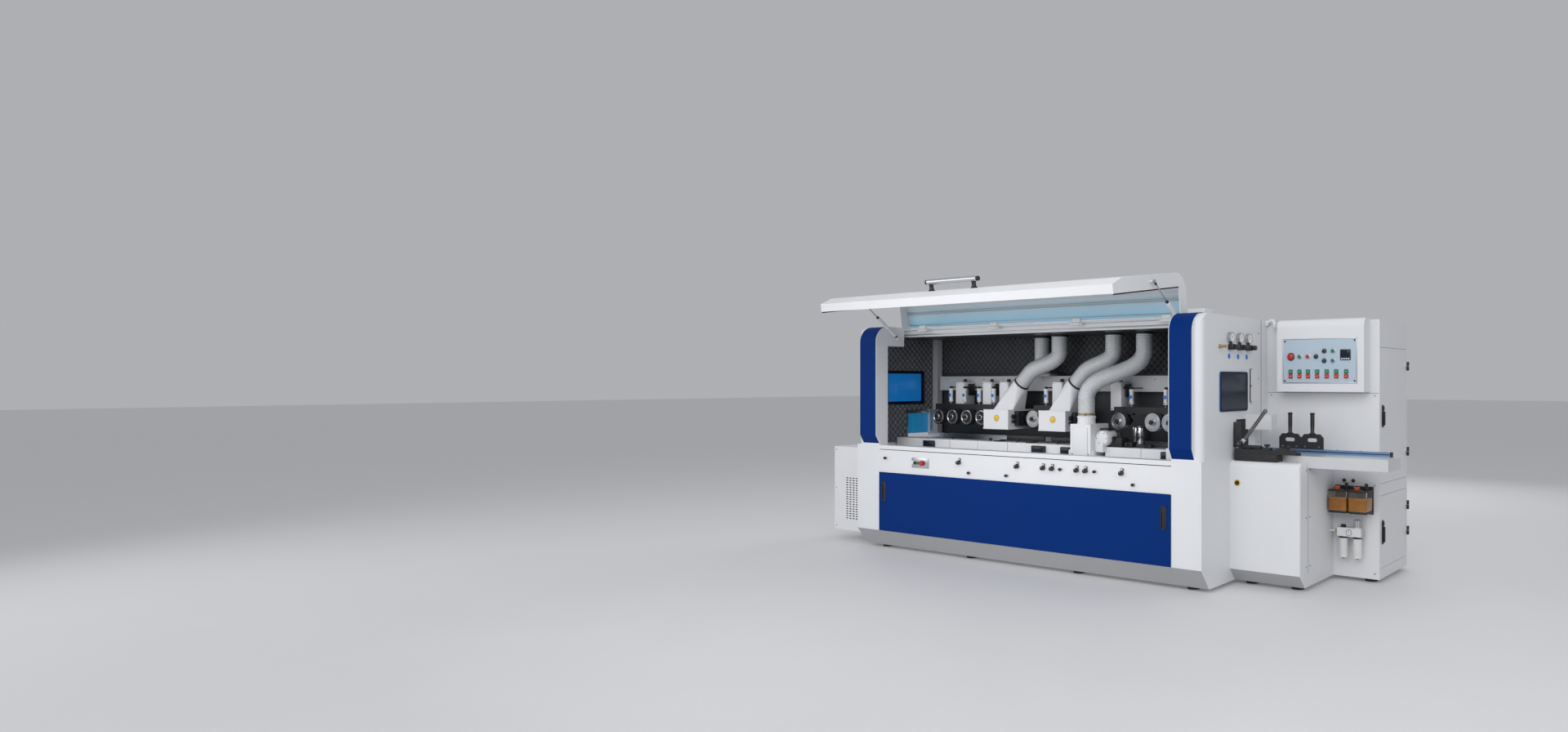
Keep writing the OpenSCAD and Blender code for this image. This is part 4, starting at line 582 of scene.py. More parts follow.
class MOULDER_OT_hoses(bpy.types.Operator):
    """Ribbed dust hoses with their rings and clamps"""
    bl_idname = "moulder.hoses"
    bl_label = "Dust hoses"

    def execute(self, context):
        pitch, depth = sizes().rib_pitch * 1000, sizes().rib_depth * 1000
        shape = Shape().paint("hose")
        for top, end, way, bend in HOSES:
            a, d = top - UP * HOSE_D, end + way * HOSE_D
            path = [top, a] + curve(a, a - UP * bend, d + way * bend, d, 60)[1:] + [end]
            points, length = even(path, pitch / 6)
            ribs = round(length / pitch)
            radii = []
            for i in range(len(points)):
                wave = 0.5 - 0.5 * math.cos(2 * math.pi * ribs * i / (len(points) - 1))
                radii.append(HOSE_R - depth + depth * wave ** 0.7)
            shape.sweep(points, radii, 32)
        hoses = shape.done("dust_hoses_ribbed", "machine", "hose", 60)
        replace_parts(hoses, "dust_hoses")
        trim = Shape()
        for i, (top, end, way, bend) in enumerate(HOSES):
            trim.paint("arm_black").ring(top - UP * 16, UP, HOSE_R + 7, HOSE_R - 4, 15, 2, 40)
            if i in (1, 2):
                trim.paint("black").ring(end + way * 4, way, HOSE_R + 3.5, HOSE_R - 4, 12, 1.5, 40)
                ear = end + way * 10 + FRONT * (HOSE_R + 6) - Vector((9, 0, -9))
                trim.paint("screw").turned(ear, TILT.cross(BACK), [(4, 0), (4, 18), (3, 19)], 12)
            if i == 3:
                trim.paint("brass").ring(end + way * 6, way, HOSE_R + 3, HOSE_R - 3, 5, 1.5, 40)
                trim.ring(end + way * 15, way, HOSE_R + 3, HOSE_R - 3, 4, 1.5, 40)
                box_at(trim, end, (20, -68, 4), (34, -56, 20), 2)
        trim.done("dust_hose_clamps", "machine", "black_plastic")
        return {"FINISHED"}


# The outfeed mouth, the viewing windows and the foam's inner faces
CURTAIN_LOW, CURTAIN_HIGH = span("outfeed_curtain")
WINDOW_LOW, WINDOW_HIGH = span("view_windows")
MOUTH_EDGE = 12
MOUTH_Y0, MOUTH_Y1 = CURTAIN_LOW.y - MOUTH_EDGE, CURTAIN_HIGH.y + MOUTH_EDGE
MOUTH_TOP = CURTAIN_HIGH.z + MOUTH_EDGE
FOAM_X0, FOAM_X1 = FOAM_LOW.x + FOAM_T, FOAM_HIGH.x - FOAM_T
BACK_FOAM_Z = span("suction_hoods")[1].z
ARM_CUT_Y, ARM_CUT_Z = 250, 1553


def foam_panel(shape, corner, u, v, out, size, holes, lit_and_shaded):
    """Foam sheet with egg-crate peaks; holes are (u0, v0, u1, v1); the pair of wears gives a lighter finish
    for the peaks and a darker one for the dips, sides and back, as painted light and painted shade.
    """
    pitch, relief = sizes().foam_pitch * 1000, sizes().foam_depth * 1000
    step, thick = pitch / 8, FOAM_T - 0.5
    nu, nv = int(round(size[0] / step)), int(round(size[1] / step))
    lit_peak, low = lit_and_shaded
    keep = set()
    for i in range(nu):
        for j in range(nv):
            cu, cv = (i + 0.5) * size[0] / nu, (j + 0.5) * size[1] / nv
            if not any(h[0] < cu < h[2] and h[1] < cv < h[3] for h in holes):
                keep.add((i, j))
    index, points, faces, wear = {}, [], [], []

    def height(pu, pv):
        waves = math.cos(math.pi * (pu + pv) / pitch) * math.cos(math.pi * (pu - pv) / pitch)
        return math.sqrt(abs(waves))

    def corner_of(i, j, level):
        if (i, j, level) not in index:
            pu, pv = i * size[0] / nu, j * size[1] / nv
            h = thick - relief * (1 - height(pu, pv)) if level else 0.5
            index[(i, j, level)] = len(points)
            points.append(corner + u * pu + v * pv + out * h)
        return index[(i, j, level)]

    for i, j in sorted(keep):
        ring = [(i, j), (i + 1, j), (i + 1, j + 1), (i, j + 1)]
        faces.append([corner_of(a, b, 1) for a, b in ring])
        # Peaks take the lighter finish as painted light, dips and the rest the darker one as painted shade
        wear.append(lit_peak if height((i + 0.5) * size[0] / nu, (j + 0.5) * size[1] / nv) > 0.45 else low)
        faces.append([corner_of(a, b, 0) for a, b in ring[::-1]])
        wear.append(low)
        nexts = ((i, j - 1), (i + 1, j), (i, j + 1), (i - 1, j))
        for near, a, b in zip(nexts, ring, ring[1:] + ring[:1]):
            if near not in keep:
                faces.append([corner_of(*a, 0), corner_of(*b, 0), corner_of(*b, 1), corner_of(*a, 1)])
                wear.append(low)
    shape.add(points, faces, wear)


class MOULDER_OT_foam(bpy.types.Operator):
    """Egg-crate foam on the end walls and the back of the chamber"""
    bl_idname = "moulder.foam"
    bl_label = "Foam lining"

    def execute(self, context):
        low, high = FOAM_LOW, FOAM_HIGH
        # Back and end walls each get a lighter finish for peaks and a darker one for dips; the end walls'
        # pair is painted lighter than the back's
        back, end = ("foam", "foam_back_shaded"), ("foam_end_lit", "foam_end_shaded")
        shape = Shape()
        for wear in back + end:
            shape.paint(wear)
        holes = [
            (WINDOW_LOW.y - low.y, WINDOW_LOW.z - low.z, WINDOW_HIGH.y - low.y, WINDOW_HIGH.z - low.z),
            (MOUTH_Y0 - low.y, -5, MOUTH_Y1 - low.y, MOUTH_TOP - low.z),
            (-5, ARM_CUT_Z - low.z, ARM_CUT_Y - low.y, 900),
        ]
        wall = (high.y - low.y, high.z - low.z)
        foam_panel(shape, low, BACK, UP, INFEED, wall, holes, end)
        foam_panel(shape, Vector((high.x, low.y, low.z)), BACK, UP, OUTFEED, wall, holes, end)
        rear = (FOAM_X1 - FOAM_X0, high.z - BACK_FOAM_Z)
        foam_panel(shape, Vector((FOAM_X0, high.y, BACK_FOAM_Z)), INFEED, UP, FRONT, rear, [], back)
        lining = shape.done("acoustic_foam", "machine", "foam", 75)
        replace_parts(lining, "acoustic_lining")
        return {"FINISHED"}


class MOULDER_OT_curtain(bpy.types.Operator):
    """Soft strips that hang in the outfeed mouth, and the window frames"""
    bl_idname = "moulder.curtain"
    bl_label = "Curtain and windows"

    def execute(self, context):
        low, high = CURTAIN_LOW, CURTAIN_HIGH
        strips, thick, top, drop = 12, 3.2, high.z - 19, 165
        width = (high.y - low.y - 2) / strips
        shape = Shape().paint("curtain")
        for k in range(strips):
            y0 = low.y + 1 + width * k
            bow, lean = 1.2 + 0.8 * math.sin(2.1 * k), 1.5 * math.sin(1.7 * k)
            rows, faces = [], []
            for i in range(9):
                t = i / 8
                for side in (0, thick):
                    for j in range(5):
                        s = j / 4
                        x = low.x + 10 + side + bow * math.sin(math.pi * s) + lean * t * t
                        rows.append((x, y0 + 0.6 + (width - 1.2) * s, top - t * drop))
            for p in range(0, 80, 10):
                for q in range(p, p + 4):
                    faces.append([q, q + 1, q + 11, q + 10])
                    faces.append([q + 6, q + 5, q + 15, q + 16])
                faces.append([p, p + 10, p + 15, p + 5])
                faces.append([p + 4, p + 9, p + 19, p + 14])
            for j in range(4):
                faces.append([j + 1, j, j + 5, j + 6])
                faces.append([80 + j, 81 + j, 86 + j, 85 + j])
            shape.add(rows, faces)
        rail_z = high.z - 20
        shape.paint("satin_alu").block((low.x, low.y, rail_z), high, 1.5)
        for k in range(5):
            shape.paint("screw").bolt((high.x, low.y + 27 + 54 * k, rail_z + 10), INFEED, 8, 3)
        strips_piece = shape.done("outfeed_strips", "machine", "curtain", 50)
        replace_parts(strips_piece, "outfeed_curtain")
        x, (y0, z0), (y1, z1) = FOAM_X0, WINDOW_LOW.yz, WINDOW_HIGH.yz
        rim = Shape().paint("navy")
        rim.blocks(2, ((x, y0 - 15, z0 + 3), (x + 7, y0 + 20, z1 + 23)),
                   ((x, y1 - 11, z0 + 3), (x + 7, y1 + 25, z1 + 23)),
                   ((x, y0 + 11, z0 + 3), (x + 7, y1 - 2, z0 + 28)),
                   ((x, y0 + 11, z1), (x + 7, y1 - 2, z1 + 23)))
        # Glowing panel behind the window: painted light
        rim.paint("window_lit").block((x + 1, y0 + 11, z0 + 19), (x + 5, y1 - 2, z1 + 9), 1)
        face = WINDOW_HIGH.x
        rim.paint("navy").prism(rounded(y0, z0, y1, z1, 18), "x", face, face + 1.4, 0.5)
        glass = rounded(y0 + 16, z0 + 16, y1 - 16, z1 - 16, 12)
        rim.paint("smoke").prism(glass, "x", face + 1.4, face + 2.4, 0.3)
        x0, x1, sill = FOAM_LOW.x + 2, FOAM_X0 + 4, FOAM_LOW.z + 2
        rim.paint("satin_alu")
        rim.blocks(1, ((x0, MOUTH_Y0, sill), (x1, CURTAIN_LOW.y, MOUTH_TOP)),
                   ((x0, CURTAIN_HIGH.y, sill), (x1, MOUTH_Y1, MOUTH_TOP)),
                   ((x0, MOUTH_Y0, CURTAIN_HIGH.z), (x1, MOUTH_Y1, MOUTH_TOP)))
        rim.done("window_frames", "machine", "window")
        return {"FINISHED"}


def roller(shape, x, rubber):
    """Feed roller with a dished face, hub nut and shaft, along +Y."""
    r, w = ROLLER_R, ROLLER_W
    at = Vector((x, WORK_Y, ROLLER_Z))
    if rubber:
        tread = [(50, 3), (60, 0), (r, 2.5), (r, 15), (61, 17), (r, 19), (r, 31), (61, 33),
                 (r, 35), (r, w - 2.5), (60, w), (24, w)]
        shape.paint("rubber").turned(at, BACK, tread, 56)
    else:
        rim = [(54, 0), (61, 0), (r, 1.5), (r, w - 1.5), (61, w), (24, w)]
        shape.paint("polished").turned(at, BACK, rim, 56)
        for k in range(48):
            out, along = around(k, 48, INFEED, UP), around(k + 12, 48, INFEED, UP)
            tooth = [at + out * 61.5 + along * 2.2, at + out * 61.5 - along * 2.2, at + out * 62.5]
            ends = [p + BACK * 4 for p in tooth] + [p + BACK * (w - 4) for p in tooth]
            shape.add(ends, [[0, 1, 2], [5, 4, 3], [0, 3, 4, 1], [1, 4, 5, 2], [2, 5, 3, 0]])
    dish = [(55, 4), (54, 0.5), (50, -1), (47, 1), (40, 8), (28, 11), (25, 4), (25, 12)]
    shape.paint("polished").turned(at, BACK, dish, 56)
    hub = [(0, -14), (20, -14), (23.5, -11), (24, -4), (24, 12)]
    shape.paint("satin_alu").turned(at, BACK, hub, 40)
    nose = [(0, -SHAFT_OUT), (10, -SHAFT_OUT), (11.9, -28), (11.9, -13)]
    shape.paint("arm_black").turned(at, BACK, nose, 24)
    shape.lobed(at + FRONT * 22, BACK, 17, 8, 6, 0.16, 48, 1)
    shaft = [(24, w), (24, w + 12), (12, w + 12), (12, SHAFT_END), (0, SHAFT_END)]
    shape.turned(at, BACK, shaft, 32)
    shape.paint("screw")
    for k in range(4):
        shape.bolt(at + 34 * around(k + 0.5, 4, INFEED, UP) + BACK * 12, FRONT, 8, 5)


class MOULDER_OT_rollers(bpy.types.Operator):
    """Feed rollers, rubber on the outfeed side and serrated steel on the infeed side"""
    bl_idname = "moulder.rollers"
    bl_label = "Feed rollers"

    def execute(self, context):
        for i, x in enumerate(ROLLER_X):
            shape = Shape()
            roller(shape, x, i < 4)
            name = "feed_roller_%d" % (i + 1)
            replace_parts(shape.done(name + "_dressed", name, "polished"), name)
        return {"FINISHED"}


def spindle(name, at, axis, cutter_r, head, tail, pulley):
    """Spindle with a knife block, lock nut, shaft and grooved pulley."""
    shape = Shape()
    at = Vector(at)
    axis, side, up = axes(axis)
    lo, hi = head
    seg, knives = 64, 4
    step = seg // knives
    points = []
    for h, k in ((lo, 0.96), (lo + 3, 1.0), (hi - 3, 1.0), (hi, 0.96)):
        for j in range(seg):
            r = cutter_r * k * (0.86 if j % step in (0, 1) else 0.965)
            points.append(at + axis * h + r * around(j, seg, side, up))
    shape.paint("cutter").stack(points, seg)
    for q in range(knives):
        j = q * step + 2.2
        out, along = around(j, seg, side, up), around(j + seg / 4, seg, side, up)
        c = at + out * cutter_r * 0.9
        p = [c - along * 2 - out * 6, c + along * 1.5 - out * 6,
             c + along * 1.5 + out * cutter_r * 0.095, c - along * 0.5 + out * cutter_r * 0.1]
        ends = [v + axis * (lo + 4) for v in p] + [v + axis * (hi - 4) for v in p]
        shape.paint("polished").add(ends, BOX_FACES)
        hole = around(j - 0.7 * seg / (2 * math.pi), seg, side, up)
        shape.paint("arm_black")
        for m in range(4):
            h = lo + (hi - lo) * (m + 0.5) / 4
            cup = [(7, 0), (7, 1.6), (5, 1.6), (4, 0.4), (0, 0.4)]
            shape.turned(at + axis * h + hole * (cutter_r * 0.95), hole, cup, 14)
    low, high = tail
    shaft = [(0, low), (17, low), (19.9, low + 3), (19.9, high - 2), (18, high), (0, high)]
    shape.paint("satin_alu").turned(at, axis, shaft, 32)
    groove = [(0, 0), (42, 0), (42, 3)]
    for g in range(5):
        groove += [(38, 5 + g * 4), (42, 7 + g * 4)]
    groove += [(42, 26), (0, 26)]
    shape.turned(at + axis * pulley, axis, groove, 40)
    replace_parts(shape.done(name + "_dressed", name, "steel"), name)


class MOULDER_OT_spindles(bpy.types.Operator):
    """Cutter heads with knives, shafts and pulleys"""
    bl_idname = "moulder.spindles"
    bl_label = "Spindles"

    def execute(self, context):
        level = ((490, 685), (475, 1121), 1090)
        spindle("bottom_spindle", (-0.1093 * BODY_L, 0, 765), BACK, 60, *level)
        for k, x in enumerate(TOP_HOOD_X):
            spindle("top_spindle_%d" % (k + 1), (x, 0, 1002), BACK, 60, *level)
        upright = ((830, 955), (465, 965), 470)
        spindle("front_side_spindle", (SIDE_X, 405, 0), UP, 52, *upright)
        spindle("rear_side_spindle", (-0.2975 * BODY_L, 738, 0), UP, 52, *upright)
        return {"FINISHED"}


# Gear column covers: front face, lower and upper edge; the beam's strips: ends and front
COVER_FRONT, COVER_LOW, COVER_HIGH, COVER_HALF = 597, 1076, 1277, 46
STRIP_X0, STRIP_X1, STRIP_Y = -2840, -70, 716
ARM_FRONT, CYLINDER_DX, CYLINDER_Y = 553, 52, 577.5


class MOULDER_OT_feed(bpy.types.Operator):
    """Air cylinders, gear columns and roller housings"""
    bl_idname = "moulder.feed"
    bl_label = "Feed works"

    def execute(self, context):
        barrel = [(12, 17), (16.6, 18), (17.4, 20), (17.4, 34), (16, 36), (16, 106),
                  (17.4, 108), (17.4, 121), (14, 123)]
        shape = Shape()
        for x in ROLLER_X:
            at = Vector((x + CYLINDER_DX, CYLINDER_Y, CYLINDER_Z))
            shape.paint("polished").turned(at, UP, [(7, 0), (7, 4), (5.2, 5), (5.2, 19)], 20)
            shape.paint("white_plastic").turned(at, UP, barrel, 32)
            disc = [(13, 0), (13, 0.9), (12.4, 1.2), (0, 1.2)]
            shape.paint("disc_blue").turned(at + Vector((0, -16.2, 70)), FRONT, disc, 28)
            box_at(shape.paint("black"), at, (-9, -9, 122), (9, 9, 139.6), 2)
            shape.turned(at + Vector((0, 8, 131)), BACK, [(6, 0), (6, 8), (4.4, 9), (4.4, 134.5)], 16)
            shape.turned(at + Vector((0, -15, 28)), FRONT, [(4, 0), (4, 6), (2.5, 8)], 12)
        shape.done("air_cylinder_trim", "machine", "aluminium")
        cover = Shape()
        front, low, high, half = COVER_FRONT, COVER_LOW, COVER_HIGH, COVER_HALF
        for x in COLUMN_X:
            cover.paint("casting").block((x - half, front, low), (x + half, 720, high), 6, 3)
            cover.paint("screw")
            for dx in (10 - half, half - 10):
                for z in (low + 14, high - 13):
                    cover.bolt((x + dx, front + 0.5, z), FRONT, 7, 2.5)
            cap = [(18, 0), (18, 8), (14, 10), (14, 22), (9, 24)]
            cover.paint("arm_black").turned((x, 660, high - 1), UP, cap, 24)
            cover.block((x + half + 1, 640, high - 107), (x + half + 20, 700, high - 15), 4)
            cover.turned((x + half + 10, 640, high - 41), FRONT, [(9, 0), (9, 14), (6, 16)], 16)
        x0, x1, y = STRIP_X0, STRIP_X1, STRIP_Y
        cover.paint("beam_grey")
        cover.blocks(1.5, ((x0, y, 1306), (x1, y + 6, 1322)), ((x0, y, 1208), (x1, y + 6, 1216)))
        cover.paint("screw")
        for k in range(14):
            cover.bolt((x0 + 80 + 200 * k, y + 3, 1297), FRONT, 9, 4)
        cover.done("gear_column_covers", "machine", "grey_paint")
        arms = Shape()
        for x in ROLLER_X:
            at = Vector((x, ARM_FRONT, ROLLER_Z))
            box_at(arms.paint("arm_black"), at, (-30, -1, 5.5), (30, 50, 56.5), 5)
            box_at(arms, at, (34, 0, 43.5), (70, 49, 61.5), 3)
            arms.turned(at, FRONT, [(34, -3), (34, 1), (30, 4), (14, 4)], 36)
            arms.paint("screw")
            for k in range(4):
                arms.bolt(at + FRONT * 3 + 25 * around(k + 0.5, 4, INFEED, UP), FRONT, 7, 3)
        arms.done("roller_arm_covers", "machine", "dark_steel")
        return {"FINISHED"}


def star_knob(shape, at, axis, r=17.0):
    """Black lobed knob on a short neck."""
    at = Vector(at)
    shape.paint("black").turned(at, axis, [(7, 0), (6, 10)], 16)
    shape.lobed(at + axis * 9, axis, r, 14, 5, 0.3, 50, 2)
    shape.turned(at + axis * 22.5, axis, [(8, 0), (7, 2), (0, 2.6)], 20)


# Top suction hoods: half width, front face, lower and upper edge; knobs as end, depth, height, radius
HOOD_HALF, HOOD_FRONT, HOOD_LOW, HOOD_HIGH = 120, 400, 926, 1070
HOOD_KNOBS = ((-1, 430, 1036, 18), (-1, 430, 962, 15), (1, 440, 1020, 19), (1, 440, 984, 15))


class MOULDER_OT_suction(bpy.types.Operator):
    """Rims, knobs and plain discs on the suction hoods"""
    bl_idname = "moulder.suction"
    bl_label = "Suction hoods"

    def execute(self, context):
        shape = Shape()
        front, z0, z1 = HOOD_FRONT, HOOD_LOW, HOOD_HIGH
        for x in TOP_HOOD_X:
            lo, hi = x - HOOD_HALF, x + HOOD_HALF
            shape.paint("casting")
            shape.blocks(2, ((lo - 3, front - 3, z0 - 2), (hi + 3, front + 10, z0 + 9)),
                         ((lo - 3, front, z0 - 2), (lo + 6, 700, z0 + 9)),
                         ((hi - 6, front, z0 - 2), (hi + 3, 700, z0 + 9)))
            shape.block((lo - 2, front - 2, z1 - 7), (hi + 2, front + 4, z1 + 2), 1.5)
            disc_at = Vector((x + 8, front - 0.5, z0 + 82))
            shape.paint("yellow").turned(disc_at, FRONT, [(24, 0), (24, 1), (23, 1.6), (0, 1.6)], 40)
            shape.paint("brass").ring(disc_at + FRONT * 0.3, FRONT, 24.5, 21.5, 1.6, 0.4, 40)
            for end, y, z, r in HOOD_KNOBS:
                star_knob(shape, (x + end * (HOOD_HALF + 2), y, z), INFEED * end, r)
            shape.paint("arm_black").block((hi + 2, 470, z0 + 24), (hi + 40, 640, z1 - 10), 4)
            shape.block((lo - 14, 470, z0 + 22), (lo - 2, 690, z1 - 8), 3)
            shape.paint("screw").bolts(INFEED, 10, 4, (hi + 40, 520, z0 + 49), (hi + 40, 520, z1 - 35))
        # The side hood with its neck and the round motor cover beside it
        x, neck, drum = SIDE_X, HOSES[3][1].xy, Vector((SIDE_X + 140, 432, 896))
        foot_y, foot_z = span("suction_hoods")[0].yz
        shape.paint("casting").block((x - 89, foot_y - 4, foot_z), (x + 89, foot_y + 6, foot_z + 12), 2)
        shape.block((x - 60, foot_y - 7, foot_z + 12), (x + 60, foot_y + 1, foot_z + 208), 6, 3)
        shape.ring((*neck, 986), UP, 66, 58, 12, 2, 44)
        shape.ring((*neck, 1030), UP, 65, 60, 15, 2, 44)
        shape.block((x + 85, 300, 800), (x + 150, 430, 900), 6, 3)
        barrel = [(40, 0), (50, 4), (54, 12), (54, 118), (48, 130), (30, 135), (0, 136)]
        shape.turned(drum, FRONT, barrel, 44)
        shape.paint("screw")
        for k in range(6):
            shape.bolt(drum + FRONT * 131 + 40 * around(k, 6, INFEED, UP), FRONT, 8, 4)
        shape.bolts(FRONT, 10, 4, (x - 68, foot_y, foot_z + 25), (x + 68, foot_y, foot_z + 25))
        star_knob(shape, drum + Vector((53, -82, 0)), INFEED, 16)
        shape.paint("arm_black").block((x + 100, 340, 948), (x + 170, 420, 962), 3)
        shape.done("suction_hood_trim", "machine", "white_paint")
        return {"FINISHED"}


class MOULDER_OT_bed(bpy.types.Operator):
    """Black guides, boxes and clamps along the bed"""
    bl_idname = "moulder.bed"
    bl_label = "Bed"

    def execute(self, context):
        bed_low, bed_high = span("machine_bed")
        top, front = bed_high.z, bed_low.y
        shape = Shape()
        for x, w in ((-2640, 110), (-1560, 120), (-1300, 110), (-480, 100)):
            shape.paint("arm_black").block((x, front - 23, 764), (x + w, front + 1, 822), 5)
            shape.paint("smoke").block((x + 10, front - 25, 774), (x + w - 10, front - 22, 812), 2)
            shape.paint("screw").bolts(FRONT, 6, 2, (x + 6, front - 23, 793), (x + w - 6, front - 23, 793))
        # Guides, holders and boxes: rounding, then depths and heights from the bed's top
        for r, x0, x1, y0, y1, z0, z1 in (
                (3, -1960, -1210, 446, 474, -1, 11), (2, -1960, -1900, 380, 452, -1, 7),
                (2, -1640, -1590, 360, 452, -1, 9), (4, -930, -140, 440, 474, -9, 13),
                (3, -930, -860, 350, 446, -1, 15), (4, -720, -600, 400, 446, -1, 23),
                (3, -1900, -1540, 455, 470, 11, 45), (3, -1480, -1230, 455, 470, 11, 41),
                (6, -890, -800, 352, 440, 1, 65), (5, -800, -735, 380, 440, 1, 37)):
            shape.paint("arm_black").block((x0, y0, top + z0), (x1, y1, top + z1), r)
        shape.turned((-845, 396, top + 64), UP, [(22, 0), (22, 10), (16, 14), (16, 34), (12, 38)], 28)
        shape.turned((-768, 381, top + 23), FRONT, [(13, 0), (13, 12), (8, 16), (8, 30)], 24)
        shape.paint("satin_alu").blocks(1.5, ((-1900, 470, top - 9), (-1230, 480, top + 3)),
                                        ((-900, 470, top - 9), (-150, 480, top + 5)))
        for x in (-2400, -2010, -1750, -1380, -900, -640, -300):
            star_knob(shape, (x, 400, top - 1), UP, 15)
        shape.paint("casting").block((-420, 292, 760), (-300, 344, 850), 5, 3)
        shape.paint("yellow").turned((-360, 291.5, 812), FRONT, [(20, 0), (20, 1), (19, 1.5), (0, 1.5)], 36)
        shape.paint("casting").block((-1180, 262, 762), (-975, 300, 812), 4)
        shape.paint("screw").bolts(FRONT, 11, 4, (-1160, 262, 790), (-995, 262, 790))
        shape.done("bed_trim", "machine", "dark_steel")
        lines = Shape().paint("screw")
        pitch = (bed_high.x - bed_low.x) / 10
        for k in range(1, 10):
            x = bed_low.x + pitch * k
            lines.bolts(UP, 9, 2, (x - 26, 420, top), (x + 26, 420, top))
        lines.done("bed_screws", "machine", "steel")
        return {"FINISHED"}


class MOULDER_OT_hood(bpy.types.Operator):
    """Grip posts, caps and inner rail of the hood"""
    bl_idname = "moulder.hood"
    bl_label = "Hood trim"

    def execute(self, context):
        shape = Shape(HOOD)
        width = HOOD_X1 - HOOD_X0
        mid, half, grip_y, grip_z = HOOD_X0 + 0.4575 * width, 227.5, -360, -670
        foot = [(22, 0), (22, 4), (18, 8), (15, 14), (14, 30), (16, 45)]
        cap = [(15.4, -10), (15.6, -9), (15.6, 3), (13, 6), (0, 7)]
        for side in (-1, 1):
            post = (mid + side * (half - 40), grip_y + 60, grip_z)
            shape.paint("black").turned(post, FRONT, foot, 32)
            shape.turned((mid + side * half, grip_y, grip_z), (side, 0, 0), cap, 32)
        sleeve = [(15.4, 0), (18, 2), (18, 2 * half - 26), (15.4, 2 * half - 24)]
        shape.paint("satin_alu").turned((mid - half + 12, grip_y, grip_z), INFEED, sleeve, 36)
        # Places in the frame of the shut hood, from its hinge
        x0, x1, lip_y, lip_z = HOOD_X0 + 12, HOOD_X1 - 12, -216, -809
        shape.block((x0, lip_y - 46, lip_z), (x1, lip_y, lip_z + 10), 2)
        shape.block((x0, lip_y - 6, lip_z), (x1, lip_y, lip_z + 33), 1.5)
        for share in (0.06, 0.35, 0.65, 0.94):
            x = HOOD_X0 + share * width
            shape.paint("casting").block((x - 34, -92, 14), (x + 34, -15, 18.5), 1.5)
            leaf_screws = [(x + dx, y, 18) for dx in (-22, 22) for y in (-76, -50)]
            shape.paint("screw").bolts(UP, 9, 3, *leaf_screws)
        x0, x1 = HOOD_X0 + 8, HOOD_X1 - 8
        # Lining sheet inside the hood, in the faintly glowing lining finish: painted light
        shape.paint("hood_lining_glow").block((x0, -178, 7.4), (x1, -24, 9.7), 0.8)
        shape.paint("satin_alu").block((x0, -140, -6), (x1, -134, 8), 1.5)
        shape.block((x0, -124, -4), (x1, -121, 8), 1)
        shape.block((x0, -44, 0), (x1, -36, 8), 1.5)
        shape.paint("rubber")
        for x in (HOOD_X0 + 2.5, HOOD_X1 - 2.5):
            shape.sweep([(x, lip_y + 7, z) for z in (lip_z - 3, -715, -80)], 4.5, 12)
        shape.done("hood_trim", "hood", "white_paint")
        return {"FINISHED"}


class MOULDER_OT_struts(bpy.types.Operator):
    """End fittings of the two gas struts"""
    bl_idname = "moulder.struts"
    bl_label = "Gas struts"

    def execute(self, context):
        beside = 28
        for side, x in (("outfeed", HOOD_X0 - beside), ("infeed", HOOD_X1 + beside)):
            tube = Shape(strut_place(x))
            collar = [(10.2, 0), (11, 1), (11, 12), (10.2, 13)]
            tube.paint("black").turned((0, 24, 0), BACK, collar, 28)
            sleeve = [(10.2, 0), (12.6, 2), (12.6, 210), (10.2, 213)]
            tube.paint("white_plastic").turned((0, 37, 0), BACK, sleeve, 32)
            gland = [(10.2, 0), (10.8, 1), (10.8, 12), (9, 14.6), (5.6, 14.6)]
            tube.paint("black").turned((0, 252, 0), BACK, gland, 28)
            tube.done(side + "_strut_caps", side + "_strut_tube", "black_plastic")
            rod = Shape(strut_place(x)).paint("black")
            rod.turned((0, STRUT_L - 30, 0), BACK, [(5.3, 0), (7.5, 1), (7.5, 17), (6, 19)], 24)
            rod.done(side + "_strut_end", side + "_strut_rod", "black_plastic")
        return {"FINISHED"}


def mushroom(shape, x, y, z, stem):
    """Domed stop head in front of a plate face at y, with its stem behind."""
    head = [(8, 5), (18, 5), (20, 7.5), (20, 13), (18.5, 18), (14, 21.2), (7, 22.8), (0, 23)]
    shape.turned((x, y, z), FRONT, [(0, -stem), (8, -stem)] + head, 40)


# Controls on the sill: shares of the length from the infeed end, and heights
SILL_PLATE_X, SILL_PLATE_W, SILL_PLATE_Z = -0.7744 * BODY_L, 175, 682.5
BIG_KNOBS = (0.6451, 0.4685, 0.394, 0.3691, 0.3025, 0.279, 0.1869)
BIG_KNOB_Z = 705
SMALL_KNOBS = ((0.894, 704), (0.614, 637), (0.4997, 637), (0.3466, 704), (0.2555, 704), (0.1587, 637))


